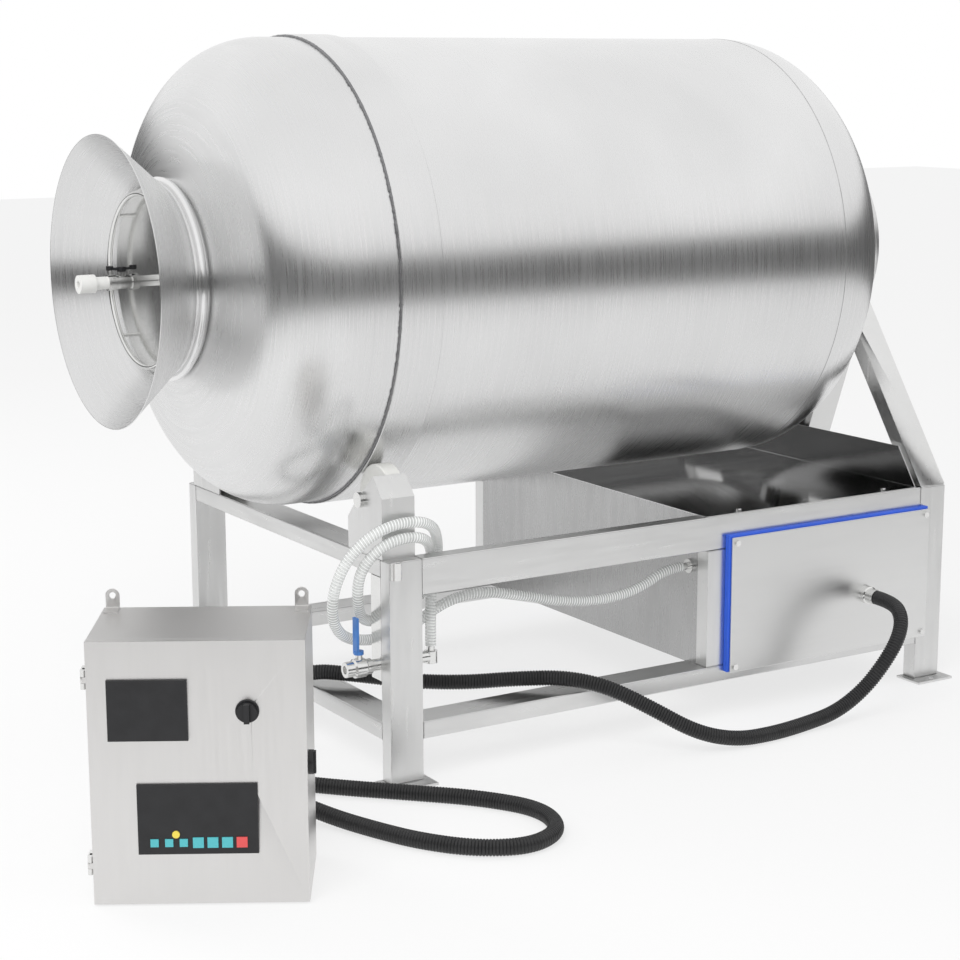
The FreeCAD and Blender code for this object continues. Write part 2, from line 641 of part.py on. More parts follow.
def drum():
    weld = size("WeldLine")
    hub_face = size("FrameLength") / 2 - size("TubeDepth") - size("HubGap")
    rear_weld = hub_face - size("HubSeat") - crown_depth(size("HubRadius")) - REAR_FLANGE
    sheet_value("HubFace", hub_face, "rear face of the shaft's flange, along Y")
    sheet_value("ShellLength", rear_weld - weld, "between the heads")
    node("drum_shell", turned([("0", "DrumRadius - DrumWall"), ("0", "DrumRadius"),
                               ("ShellLength", "DrumRadius"), ("ShellLength", "DrumRadius - DrumWall")],
                              "0", "WeldLine", "DrumAxisHeight", "+Y"))
    node("front_head", dished_head(weld, size("FrontFlange"), size("NeckRadius"), -1))
    node("rear_head", dished_head(rear_weld, REAR_FLANGE, size("HubRadius"), 1))
    node("running_band", turned([("0", "DrumRadius"), ("0", "DrumRadius + BandThickness"),
                                 ("BandWidth", "DrumRadius + BandThickness"), ("BandWidth", "DrumRadius")],
                                "0", "WeldLine", "DrumAxisHeight", "+Y"))
    inner_reach = -weld + size("FrontFlange") + crown_depth(size("NeckRadius"), size("DrumWall"))
    neck_back = -inner_reach + 6 - size("NeckFront")
    neck_length = sheet_value("NeckLength", neck_back, "neck tube, from its front edge into the head")
    bead_back = -(-weld + size("FrontFlange") + crown_depth(size("NeckBeadRadius"))) - size("NeckFront")
    bead_end = sheet_value("NeckBeadEnd", bead_back - 1, "back of the bead, from the neck's front edge")
    inner = "NeckRadius - NeckWall"
    node("neck_ring", turned([
        ("0", "SeatRadius"), ("0", "NeckRadius"),
        (bead_end + " - NeckBeadWidth", "NeckRadius"),
        (bead_end + " - NeckBeadWidth * 0.8", "NeckBeadRadius - 3"),
        (bead_end + " - NeckBeadWidth * 0.5", "NeckBeadRadius"),
        (bead_end + " - NeckBeadWidth * 0.2", "NeckBeadRadius - 3"), (bead_end, "NeckRadius"),
        (neck_length, "NeckRadius"), (neck_length, inner), ("SeatThickness", inner),
        ("SeatThickness", "SeatRadius")], "0", "NeckFront", "DrumAxisHeight", "+Y"))
    node("funnel", turned([("0", "NeckRadius - FunnelWall"), ("0", "NeckRadius"),
                           ("FunnelDepth", "RimRadius"), ("FunnelDepth", "RimRadius - FunnelWall")],
                          "0", "NeckFront", "DrumAxisHeight", "-Y"))
    baffle_start = "WeldLine + BaffleInset"
    baffle_length = "ShellLength - 2 * BaffleInset"
    baffles = []
    for i in range(int(size("BaffleCount"))):
        turn = 360.0 / size("BaffleCount") * i + 90
        blade = box("-BaffleThickness / 2", baffle_start, "DrumRadius - DrumWall - BaffleHeight",
                    "BaffleThickness", baffle_length, "BaffleHeight")
        foot = rod("0", baffle_start, "0", "DrumRadius - DrumWall", baffle_length, "+Y")
        trimmed = doc.addObject("Part::Common", "Baffle")
        trimmed.Base = blade
        trimmed.Tool = foot
        turned_blade = group(trimmed)
        turned_blade.Placement = FreeCAD.Placement(V(0, 0, 0), FreeCAD.Rotation(V(0, 1, 0), turn))
        baffles.append(at(turned_blade, "0", "0", "DrumAxisHeight"))
    node("mixing_baffles", group(*baffles))
    node("rear_shaft", turned([
        ("-HubThickness", "0"), ("-HubThickness", "HubRadius"), ("0", "HubRadius"),
        ("0", "ShaftRadius"), ("ShaftEnd - HubFace", "ShaftRadius"),
        ("ShaftEnd - HubFace", "0")], "0", "HubFace", "DrumAxisHeight", "+Y"))


def sheet_value(alias, number, note):
    """Keep a worked-out size in the sheet, below the driving ones."""
    row = len(NAMES) + 1
    sheet.set("A%d" % row, alias)
    sheet.set("B%d" % row, repr(float(number)))
    sheet.set("C%d" % row, note)
    sheet.setAlias("B%d" % row, alias)
    NAMES.add(alias)
    doc.recompute()
    return alias


# --------------------------------------------------------------- lid
LID_FACE = "(NeckFront - SealThickness - LidThickness)"


def lid():
    seal_middle = "((NeckRadius - NeckWall + SeatRadius) / 2)"
    node("lid_seal", turned([("0", seal_middle + " - SealWidth / 2"), ("0", seal_middle + " + SealWidth / 2"),
                             ("SealThickness", seal_middle + " + SealWidth / 2"),
                             ("SealThickness", seal_middle + " - SealWidth / 2")],
                            "0", "NeckFront", "DrumAxisHeight", "-Y"))
    disc = rod("0", "NeckFront - SealThickness", "DrumAxisHeight", "LidRadius", "LidThickness", "-Y")
    ring = doc.addObject("Part::Torus", "GrabRing")
    ring.Placement.Rotation = AXES["-Y"]
    bind(ring, Radius1="LidRingRadius", Radius2="LidRingTube")
    at(ring, "0", LID_FACE + " - LidRingStandoff", "DrumAxisHeight")
    posts = [rod("%g * LidRingRadius" % math.cos(turn), LID_FACE, "DrumAxisHeight + %g * LidRingRadius"
                 % math.sin(turn), "LidPostRadius", "LidRingStandoff", "-Y")
             for turn in (math.pi / 4, 3 * math.pi / 4, 5 * math.pi / 4, 7 * math.pi / 4)]
    node("lid_plate", fuse(disc, ring, *posts))
    body = turned([("0", "0"), ("0", "12"), ("36", "12"), ("36", "18"), ("52", "18"), ("52", "ValveRadius"),
                   ("ValveLength - 18", "ValveRadius"), ("ValveLength - 18", "17"),
                   ("ValveLength", "17"), ("ValveLength", "0")],
                  "0", LID_FACE, "DrumAxisHeight", "-Y")
    stem_y = LID_FACE + " - 72"
    boss = rod("0", stem_y, "DrumAxisHeight", "9", "ValveRadius + 8")
    node("lid_valve", fuse(body, boss))
    hub = rod("0", stem_y, "DrumAxisHeight + ValveRadius + 8.3", "10", "10")
    wing = box("-7", stem_y + " - WingLength / 2", "DrumAxisHeight + ValveRadius + 12",
               "14", "WingLength", "5")
    tips = [rod("0", stem_y + " + %s * (WingLength / 2 - 4)" % side, "DrumAxisHeight + ValveRadius + 12",
                "8", "9") for side in (-1, 1)]
    node("lid_valve_handle", fuse(hub, wing, *tips))
    node("hose_connector", turned([
        ("0", "0"), ("0", "14"), ("30", "14"), ("30", "ConnectorRadius"),
        ("ConnectorLength", "ConnectorRadius"), ("ConnectorLength", "8"),
        ("ConnectorLength - 30", "8"), ("ConnectorLength - 30", "0")],
        "0", LID_FACE + " - ValveLength", "DrumAxisHeight", "-Y"))


# ----------------------------------------------------- front rollers
ROLLER_REACH = "(DrumRadius + BandThickness + RollerRadius + RollerGap)"
ROLLER_X = "(%s * sin(RollerAngle * 1 deg))" % ROLLER_REACH
ROLLER_Z = "(DrumAxisHeight - %s * cos(RollerAngle * 1 deg))" % ROLLER_REACH


def rollers():
    for side, sign in (("right", ""), ("left", "-")):
        wheel = turned([("0", "AxleRadius + ShaftClearance"), ("0", "RollerRadius - 3"),
                        ("3", "RollerRadius"),
                        ("RollerWidth - 3", "RollerRadius"), ("RollerWidth", "RollerRadius - 3"),
                        ("RollerWidth", "AxleRadius + ShaftClearance")],
                       sign + ROLLER_X, "RollerFront", ROLLER_Z, "+Y")
        node("roller_" + side, wheel)
    outline_points = [("BracketInner", "FrameHeight"), ("BracketInner", "FrameHeight + 70"),
                      (ROLLER_X + " - 30", ROLLER_Z + " - 12"), ("BracketSide - 38", "BracketPeak"),
                      ("BracketSide", "BracketPeak - 44"), ("BracketSide", "FrameHeight")]
    front = plate(outline_points, FRONT, "BracketPlate")
    rear = plate(outline_points, BEHIND_FRONT_LEG + " - BracketPlate", "BracketPlate")
    wall = box("BracketSide - BracketPlate", FRONT, "FrameHeight", "BracketPlate", "TubeDepth",
               "BracketPeak - 44 - FrameHeight")
    top = plate([("BracketSide", "BracketPeak - 44"), ("BracketSide - 38", "BracketPeak"),
                 ("BracketSide - 41", "BracketPeak - 3"), ("BracketSide - 4", "BracketPeak - 46")],
                FRONT, "TubeDepth")
    holes = rod(ROLLER_X, FRONT + " - 1", ROLLER_Z, "AxleRadius", "TubeDepth + 2", "+Y")
    bracket = cut(fuse(front, rear, wall, top), holes)
    node("roller_brackets", group(bracket, mirrored(bracket)))
    axle = rod(ROLLER_X, FRONT + " - 2", ROLLER_Z, "AxleRadius", "TubeDepth + 4", "+Y")
    spacer = cut(rod(ROLLER_X, FRONT + " + BracketPlate", ROLLER_Z, "AxleRadius + 6",
                     "RollerFront - BracketPlate - (%s) - 0.3" % FRONT, "+Y"),
                 rod(ROLLER_X, FRONT, ROLLER_Z, "AxleRadius", "TubeDepth", "+Y"))
    head = rod(ROLLER_X, FRONT, ROLLER_Z, "AxleRadius + 5", "10", "-Y")
    pin = fuse(axle, head, spacer)
    node("roller_axles", group(pin, mirrored(pin)))


# ------------------------------------------------------- chain drive
def pitch_radius(teeth):
    return size("ChainPitch") / (2 * math.sin(math.pi / teeth))


def chain_length(distance, large, small):
    lean = math.asin((large - small) / distance)
    return (2 * distance * math.cos(lean) + large * (math.pi + 2 * lean) + small * (math.pi - 2 * lean))


def centre_distance(large, small, wanted):
    """The shaft distance at which the chain closes on whole links."""
    low, high = large + small, wanted / 2
    for _ in range(60):
        middle = (low + high) / 2
        if chain_length(middle, large, small) < wanted:
            low = middle
        else:
            high = middle
    return (low + high) / 2


SEAT_PLAY = 0.25
TOOTH_SHARE = 0.75


def tip_radius(teeth):
    return pitch_radius(teeth) + (size("ChainRollerRadius") + SEAT_PLAY) * TOOTH_SHARE


def sprocket(teeth, bore_radius, width):
    """A toothed disc in the X-Z plane, its middle at the origin, a gap at the bottom."""
    pitch, seat = pitch_radius(teeth), size("ChainRollerRadius") + SEAT_PLAY
    disc = Part.makeCylinder(tip_radius(teeth), width, V(0, -width / 2, 0), V(0, 1, 0))
    gaps = []
    for i in range(teeth):
        turn = 2 * math.pi * i / teeth - math.pi / 2
        centre = V(pitch * math.cos(turn), 0, pitch * math.sin(turn))
        gap = Part.makeCylinder(seat, width + 2, centre - V(0, width / 2 + 1, 0), V(0, 1, 0))
        outward = V(math.cos(turn), 0, math.sin(turn))
        along = V(-math.sin(turn), 0, math.cos(turn))
        mouth = [centre + along * seat * side + outward * reach
                 for side, reach in ((1, 0), (1.25, 3 * seat), (-1.25, 3 * seat), (-1, 0))]
        mouth = [point - V(0, width / 2 + 1, 0) for point in mouth]
        wedge = Part.Face(Part.makePolygon(mouth + mouth[:1])).extrude(V(0, width + 2, 0))
        gaps.append(gap.fuse(wedge))
    disc = disc.cut(gaps)
    if bore_radius:
        disc = disc.cut(Part.makeCylinder(bore_radius, width + 2, V(0, -width / 2 - 1, 0), V(0, 1, 0)))
    return disc


def chain_path(large, small, distance, half_height):
    """The band between two offset loops round both sprockets, large one at the origin."""
    def loop(offset):
        big, little = large + offset, small + offset
        lean = math.asin((large - small) / distance)
        cos, sin = math.cos(lean), math.sin(lean)
        low = V(0, 0, -distance)
        right_big, right_little = V(big * cos, 0, -big * sin), low + V(little * cos, 0, -little * sin)
        left_big, left_little = V(-big * cos, 0, -big * sin), low + V(-little * cos, 0, -little * sin)
        edges = [Part.Arc(right_big, V(0, 0, big), left_big).toShape(),
                 Part.LineSegment(left_big, left_little).toShape(),
                 Part.Arc(left_little, low - V(0, 0, little), right_little).toShape(),
                 Part.LineSegment(right_little, right_big).toShape()]
        return Part.Face(Part.Wire(edges))
    return loop(half_height), loop(-half_height)


ROLLER_PLAY = 0.5
TIP_GAP = 0.3


def past_teeth(teeth):
    """How far along its straight run a chain roller is clear of the turning teeth."""
    reach = tip_radius(teeth) + size("ChainRollerRadius") - ROLLER_PLAY + TIP_GAP
    return math.sqrt(reach ** 2 - pitch_radius(teeth) ** 2)


def chain_drive():
    large, small = pitch_radius(size("DrumTeeth")), pitch_radius(size("DriveTeeth"))
    distance = centre_distance(large, small, size("ChainLinks") * size("ChainPitch"))
    sheet_value("DriveHeight", size("DrumAxisHeight") - distance, "drive shaft above the floor")
    top = V(0, size("ChainPlane"), size("DrumAxisHeight"))
    bottom = top - V(0, 0, distance)
    width = size("SprocketWidth")

    wheel = sprocket(int(size("DrumTeeth")), size("ShaftRadius"), width)
    hub = Part.makeCylinder(70, 16, V(0, width / 2, 0), V(0, 1, 0))
    hub = hub.cut(Part.makeCylinder(size("ShaftRadius"), 20, V(0, width / 2 - 1, 0), V(0, 1, 0)))
    item = node("drum_sprocket", solid(wheel.fuse(hub)))
    item.Placement.Base = top

    small_wheel = sprocket(int(size("DriveTeeth")), 0, width)
    shaft = Part.makeCylinder(size("DriveShaftRadius"), size("GearboxGap") + 46 + width,
                              V(0, width / 2 + 1, 0), V(0, -1, 0))
    item = node("drive_shaft", solid(small_wheel.fuse(shaft)))
    item.Placement.Base = bottom

    outer, inner = chain_path(large, small, distance, 8.0)
    gap = width / 2 + size("ChainPlateGap")
    bands = []
    for start in (gap, -gap - size("ChainPlate")):
        ring = outer.cut(inner)
        ring.translate(V(0, start, 0))
        bands.append(ring.extrude(V(0, size("ChainPlate"), 0)))
    lean = math.asin((large - small) / distance)
    straight = distance * math.cos(lean)
    leave_large = past_teeth(int(size("DrumTeeth")))
    leave_small = past_teeth(int(size("DriveTeeth")))
    start_z, down = -large * math.sin(lean), V(0, 0, -math.cos(lean))
    rollers_ = []
    run = leave_large
    while run < straight - leave_small:
        for side in (-1, 1):
            point = V(side * (large * math.cos(lean) - math.sin(lean) * run), 0, start_z) + down * run
            rollers_.append(Part.makeCylinder(size("ChainRollerRadius") - ROLLER_PLAY,
                                              2 * (gap + size("ChainPlate")),
                                              point - V(0, gap + size("ChainPlate"), 0), V(0, 1, 0)))
        run += size("ChainPitch")
    item = node("drive_chain", solid(bands[0].fuse(bands[1:] + rollers_)))
    item.Placement.Base = top


def gearmotor():
    back = "(ChainPlane - SprocketWidth / 2 - GearboxGap)"
    front = back + " - GearboxDepth"
    base = LOWER_TOP
    block = box("-GearboxWidth / 2", front, base, "GearboxWidth", "GearboxDepth",
                "DriveHeight + 38 - LowerRailBase - TubeWidth")
    boss = rod("0", back + " - 1", "DriveHeight", "32", "13", "+Y")
    bore = rod("0", back + " - 45", "DriveHeight", "DriveShaftRadius + ShaftClearance", "70", "+Y")
    node("gearbox", cut(fuse(block, boss), bore))
    motor_z = "(DriveHeight - MotorDrop)"
    barrel = rod("0", front, motor_z, "MotorRadius", "MotorLength", "-Y")
    cowl = rod("0", front + " - MotorLength", motor_z, "MotorRadius + 6", "50", "-Y")
    terminal = box("-45", front + " - 150", motor_z, "90", "100", "MotorRadius + 22")
    feet = box("-MotorRadius", front + " - 170", base, "2 * MotorRadius", "120",
               "DriveHeight - MotorDrop - LowerRailBase - TubeWidth - MotorRadius / 2")
    node("drive_motor", fuse(barrel, cowl, terminal, feet))


def vacuum_pump():
    base = LOWER_TOP
    body = box("PumpX - PumpWidth / 2", "PumpY - PumpLength / 2", base + " + 20",
               "PumpWidth", "PumpLength / 2", "PumpHeight - 20")
    motor = rod("PumpX", "PumpY - 1", base + " + PumpHeight / 2", "PumpWidth / 2 - 12",
                "PumpLength / 2", "+Y")
    feet = box("PumpX - PumpWidth / 2", "PumpY - PumpLength / 2", base, "PumpWidth", "PumpLength", "21")
    rest = box("PumpX - 30", "PumpY", base + " + 20", "60", "PumpLength / 2 - 20", "20")
    inlet = rod("PumpX", "PumpY - PumpLength / 4", base + " + PumpHeight - 1", "16", "50")
    node("vacuum_pump", fuse(body, motor, feet, rest, inlet))


# --------------------------------------------------- hose side pieces
def hose_side():
    """Ball valve on its strip, the lever, the hose clip and the ports."""
    strip_y = FRONT
    strip = box("FrameWidth / 2 - TubeWidth - StripWidth", strip_y, "ValveHeight - 32",
                "StripWidth", "3", "FrameHeight - TubeWidth - ValveHeight + 32")
    pipe = rod("ValveX", strip_y + " - 70", "ValveHeight", "PipeRadius", "70 + ValvePipe", "+Y")
    body = turned([("0", "0"), ("0", "17"), ("18", "17"), ("22", "21"), ("46", "21"), ("50", "17"),
                   ("62", "17"), ("62", "0")], "ValveX", strip_y + " - 78", "ValveHeight", "+Y")
    bore = rod("ValveX", strip_y + " - 79", "ValveHeight", "9", "20", "+Y")
    boss = rod("ValveX", strip_y + " - 44", "ValveHeight", "8", "30")
    elbow = rod("ValveX", strip_y + " + ValvePipe", "ValveHeight - PipeRadius - 2", "PipeRadius + 2",
                "PipeRadius + 14")
    barb = rod("ValveX", strip_y + " + ValvePipe", "ValveHeight + 10", "9", "14")
    node("ball_valve", fuse(strip, pipe, cut(body, bore), boss, elbow, barb))
    hub = rod("ValveX", strip_y + " - 44", "ValveHeight + 30.3", "11", "8")
    grip = box("ValveX - 9", strip_y + " - 53", "ValveHeight + 32", "18", "6", "LeverLength")
    foot = box("ValveX - 9", strip_y + " - 53", "ValveHeight + 31", "18", "14", "6")
    node("valve_lever", fuse(hub, grip, foot))
    clip_y = FRONT + " + 15"
    clip_z = "FrameHeight - ClipHeight"
    ring = cut(rod("FrameWidth / 2", clip_y, clip_z, "ClipWidth / 2", "ClipHeight"),
               rod("FrameWidth / 2", clip_y, clip_z + " - 1", "ClipWidth / 2 - 3", "ClipHeight + 2"),
               box("0", FRONT + " - 20", clip_z + " - 1", "FrameWidth / 2", "80", "ClipHeight + 2"))
    node("hose_clip", ring)
    port = rod("HosePortX", "HousingFront + SheetThickness", "HosePortHeight", "PortHoleRadius", "28", "-Y")
    nut = rod("HosePortX", "HousingFront", "HosePortHeight", "17", "8", "-Y")
    back_nut = rod("HosePortX", "HousingFront + SheetThickness", "HosePortHeight", "17", "8", "+Y")
    out_x = "FrameWidth / 2 + GasketDepth + PanelEdge"
    gland = turned([("0", "GlandRadius - 5"), ("0", "GlandRadius"), ("14", "GlandRadius"),
                    ("16", "ConduitRadius + 1"), ("GlandLength", "ConduitRadius + 1"),
                    ("GlandLength", "ConduitRadius - 4"), ("12", "ConduitRadius - 4"),
                    ("12", "GlandRadius - 5")], out_x, "GlandY", "GlandHeight", "+X")
    node("ports_and_glands", group(fuse(port, nut, back_nut), gland, in_cabinet(cabinet_outlet())))


def cabinet_outlet():
    return turned([("0", "GlandRadius - 5"), ("0", "GlandRadius"), ("14", "GlandRadius"),
                   ("16", "ConduitRadius + 1"), ("GlandLength", "ConduitRadius + 1"),
                   ("GlandLength", "ConduitRadius - 4"), ("12", "ConduitRadius - 4"),
                   ("12", "GlandRadius - 5")],
                  "CabinetWidth / 2", "CabinetDepth", "OutletHeight", "+Y")


# -------------------------------------------------------------- cords
def run_tube(label, points, radius):
    """A tube along straight runs that tangent arcs join."""
    points = [V(*point) for point in points]
    edges, start, bends = [], points[0], []
    for before, corner, after in zip(points, points[1:], points[2:]):
        into, out = (corner - before), (after - corner)
        shorter = min(into.Length, out.Length)
        half = into.getAngle(out) / 2
        reach = 0.45 * shorter
        bends.append(reach / math.tan(half))
        into.normalize()
        out.normalize()
        enter, leave = corner - into * reach, corner + out * reach
        bisector = (out - into)
        bisector.normalize()
        rise = bends[-1] / math.cos(half) - bends[-1]
        middle = corner + bisector * rise
        edges.append(Part.LineSegment(start, enter).toShape())
        edges.append(Part.Arc(enter, middle, leave).toShape())
        start = leave
    edges.append(Part.LineSegment(start, points[-1]).toShape())
    path = Part.Wire(edges)
    first = points[1] - points[0]
    ring = Part.Wire([Part.makeCircle(radius, points[0], first)])
    swept = path.makePipeShell([ring], True, False)
    swept = Part.Solid(swept) if swept.ShapeType == "Shell" else swept
    ratio = swept.Volume / (math.pi * radius ** 2 * path.Length)
    print("%s: length %.0f, smallest radius %.0f, largest %.0f, volume ratio %.4f"
          % (label, path.Length, min(bends), max(bends), ratio))
    print("  radii", [round(bend) for bend in bends])
    return node(label, solid(swept))


HOSE_BENDS = [
    (448, -648, 490), (511, -706, 548), (509, -796, 546), (484, -850, 486), (462, -846, 405),
    (412, -802, 342), (402, -706, 352), (418, -634, 412), (430, -622, 502), (513, -690, 580),
    (511, -800, 582), (490, -882, 520), (468, -914, 420), (428, -876, 328), (402, -780, 298),
    (405, -690, 312), (430, -610, 372), (448, -525, 388), (452, -425, 364), (453, -310, 334),
    (452, -200, 322), (453, -100, 333),
]

CONDUIT_BENDS = [
    (692, 507, 235), (722, 471, 197), (722, 428, 141), (698, 388, 76), (688, 312, 30), (690, 215, 18),
    (706, 105, 18), (706, -2, 22), (684, -100, 50), (626, -186, 108), (566, -262, 154), (500, -330, 170),
    (430, -420, 164), (358, -520, 152), (290, -620, 154), (216, -716, 166), (134, -800, 170),
    (62, -884, 112), (20, -985, 44), (60, -1085, 18), (160, -1130, 18), (275, -1090, 18),
    (390, -1010, 18), (500, -915, 18), (610, -800, 18), (720, -690, 18), (840, -620, 18),
    (958, -650, 18), (1006, -748, 18), (960, -850, 18), (865, -925, 18), (765, -970, 18),
    (665, -1010, 20), (575, -1060, 38), (541, -1149, 80),
]


def cords():
    """The hose leaves the valve's barb upwards and ends on the port along +Y. The
    conduit leaves the side gland along +X and ends on the cabinet's rear gland."""
    barb = V(size("ValveX"), -size("FrameLength") / 2 + size("ValvePipe"), size("ValveHeight") + 24)
    port = V(size("HosePortX"), size("HousingFront") + size("SheetThickness") - 28, size("HosePortHeight"))
    hose = [barb, barb + V(0, 0, 94)] + [V(*point) for point in HOSE_BENDS]
    run_tube("clear_hose", hose + [port - V(0, 49, 0), port], size("HoseRadius"))

    turn = math.radians(size("CabinetTurn"))
    across, inward = V(math.cos(turn), math.sin(turn), 0), V(-math.sin(turn), math.cos(turn), 0)
    corner = V(size("CabinetX"), size("CabinetY"), size("OutletHeight"))
    outlet = (corner + across * (size("CabinetWidth") / 2)
              + inward * (size("CabinetDepth") + size("GlandLength")))
    gland = V(size("FrameWidth") / 2 + size("GasketDepth") + size("PanelEdge") + size("GlandLength"),
              size("GlandY"), size("GlandHeight"))
    conduit = [gland, gland + V(60, 0, 0)] + [V(*point) for point in CONDUIT_BENDS]
    run_tube("conduit", conduit + [outlet + inward * 80, outlet], size("ConduitRadius"))


# ---------------------------------------------------- control cabinet
def in_cabinet(*items):
    """Pieces drawn from the cabinet's front left corner: X across its face, Y inwards."""
    placed = doc.addObject("Part::Compound", "InCabinet")
    placed.Links = list(items)
    placed.Placement.Rotation = FreeCAD.Rotation(V(0, 0, 1), 1)
    bind(placed, Placement__Rotation__Angle="CabinetTurn * 1 deg")
    return at(placed, "CabinetX", "CabinetY", "0")


def cabinet_body():
    front = "(DoorDepth + DoorGap)"
    depth = "(CabinetDepth - DoorDepth - DoorGap)"
    shell = cut(box("0", front, "0", "CabinetWidth", depth, "CabinetHeight"),
                box("CabinetWall", front + " - 1", "CabinetWall", "CabinetWidth - 2 * CabinetWall",
                    depth + " - CabinetWall + 1", "CabinetHeight - 2 * CabinetWall"),
                rod("CabinetWidth / 2", "CabinetDepth - 5", "OutletHeight", "ConduitRadius - 4", "10", "+Y"))
    lugs = []
    tab_y = "CabinetDepth - LugSetback"
    eye_z = "CabinetHeight + LugHeight - LugWidth / 2"
    for x in ("LugInset", "CabinetWidth - LugInset - LugWidth"):
        tab = box(x, tab_y, "CabinetHeight", "LugWidth", "LugPlate", "LugHeight - LugWidth / 2")
        crown = rod(x + " + LugWidth / 2", tab_y, eye_z, "LugWidth / 2", "LugPlate", "+Y")
        foot = box(x, tab_y + " - LugFoot", "CabinetHeight", "LugWidth", "LugFoot + 1", "LugPlate")
        eye = rod(x + " + LugWidth / 2", tab_y + " - 1", eye_z, "6", "LugPlate + 2", "+Y")
        lugs.append(cut(fuse(tab, crown, foot), eye))
    node("cabinet_shell", in_cabinet(fuse(shell, *lugs)))

    back = "CabinetDepth - CabinetWall"
    board = box("20", back + " - 3", "20", "CabinetWidth - 40", "3", "CabinetHeight - 40")
    inverter = box("60", back + " - 133", "CabinetHeight / 2 - 10", "130", "130", "CabinetHeight / 2 - 40")
    breakers = box("230", back + " - 78", "CabinetHeight / 2 + 60", "120", "75", "85")
    node("cabinet_controls", in_cabinet(group(board, inverter, breakers)))

    leaves = []
    for z in ("UpperHinge", "LowerHinge"):
        pin = rod("-HingeOffset", "HingeInset", z, "HingePinRadius", "3 * HingeBarrel")
        for step in ("0", "2"):
            barrel = rod("-HingeOffset", "HingeInset", "%s + %s * HingeBarrel" % (z, step),
                         "HingeBarrelRadius", "HingeBarrel")
            arm = box("-HingeOffset - HingeBarrelRadius", "HingeInset", "%s + %s * HingeBarrel" % (z, step),
                      "3", "DoorDepth + 24 - HingeInset", "HingeBarrel")
            pad = box("-HingeOffset - HingeBarrelRadius", "DoorDepth + 6",
                      "%s + %s * HingeBarrel" % (z, step), "HingeOffset + HingeBarrelRadius",
                      "18", "HingeBarrel")
            leaves.append(fuse(barrel, arm, pad))
        leaves.append(pin)
    node("cabinet_hinges", in_cabinet(fuse(*leaves)))


def cut_out(left, base, width, height, gap):
    """The hole in the door behind a panel, wider than the panel's module by gap."""
    return box("%s + ModuleInset - %s" % (left, gap), "-1", "%s + ModuleInset - %s" % (base, gap),
               "%s - 2 * ModuleInset + 2 * %s" % (width, gap), "DoorDepth",
               "%s - 2 * ModuleInset + 2 * %s" % (height, gap))


def panel_block(left, base, width, height, proud):
    """A front frame on the door and the module behind it."""
    front = box(left, "-" + proud, base, width, proud, height)
    module = box(left + " + ModuleInset", "-1", base + " + ModuleInset", width + " - 2 * ModuleInset",
                 "ModuleDepth + 1", height + " - 2 * ModuleInset")
    return fuse(front, module)


SCREEN = ("ScreenLeft", "ScreenBase", "ScreenWidth", "ScreenHeight")
PAD = ("PadLeft", "PadBase", "PadWidth", "PadHeight")
KEYS = [("key_set", "KeySmall"), ("key_down", "KeySmall"), ("key_up", "KeySmall"), ("key_run", "KeyLarge"),
        ("key_pause", "KeyLarge"), ("key_reset", "KeyLarge"), ("key_stop", "KeyLarge")]


def cabinet_door():
    skin = box("0", "0", "DoorLift", "CabinetWidth", "DoorDepth", "CabinetHeight - DoorLift")
    hollow = box("CabinetWall", "CabinetWall", "DoorLift + CabinetWall", "CabinetWidth - 2 * CabinetWall",
                 "DoorDepth", "CabinetHeight - DoorLift - 2 * CabinetWall")
    knob_hole = rod("KnobLeft", "-1", "KnobBase", "8", "DoorDepth", "+Y")
    door = cut(skin, hollow, cut_out(*SCREEN, "ModuleGap"), cut_out(*PAD, "ModuleGap"), knob_hole)
    barrels = []
    for z in ("UpperHinge + HingeBarrel", "LowerHinge + HingeBarrel"):
        knuckle = rod("-HingeOffset", "HingeInset", z + " + 0.3", "HingeBarrelRadius", "HingeBarrel - 0.6")
        arm = box("-HingeOffset", "HingeInset - HingeBarrelRadius", z + " + 0.3", "HingeOffset + 1", "4",
                  "HingeBarrel - 0.6")
        pin_hole = rod("-HingeOffset", "HingeInset", z, "HingePinRadius + ShaftClearance", "HingeBarrel")
        barrels.append(cut(fuse(knuckle, arm), pin_hole))
    node("cabinet_door", in_cabinet(fuse(door, *barrels)))
    node("operator_panel", in_cabinet(panel_block(*SCREEN, "ScreenProud")))

    pockets = []
    pocket_depth = "KeyBody - KeyProud + KeyTravel + KeyGap"
    keys = []
    for place, (name, side) in enumerate(KEYS):
        middle = "KeyFirst + %d * KeyPitch" % place
        pockets.append(box("%s - %s / 2 - KeyGap" % (middle, side), "-PadProud - 1",
                           "KeyRow - %s / 2 - KeyGap" % side, side + " + 2 * KeyGap",
                           "1 + " + pocket_depth, side + " + 2 * KeyGap"))
        keys.append((name, box("%s - %s / 2" % (middle, side), "-PadProud - KeyProud",
                               "KeyRow - %s / 2" % side, side, "KeyBody", side)))
    pockets.append(rod("RoundKeyLeft", "-PadProud - 1", "RoundKeyBase", "RoundKeyRadius + KeyGap",
                       "1 + " + pocket_depth, "+Y"))
    keys.append(("key_mode", rod("RoundKeyLeft", "-PadProud - KeyProud", "RoundKeyBase", "RoundKeyRadius",
                                 "KeyBody", "+Y")))
    node("keypad", in_cabinet(cut(panel_block(*PAD, "PadProud"), *pockets)))
    for name, key in keys:
        node(name, in_cabinet(key))


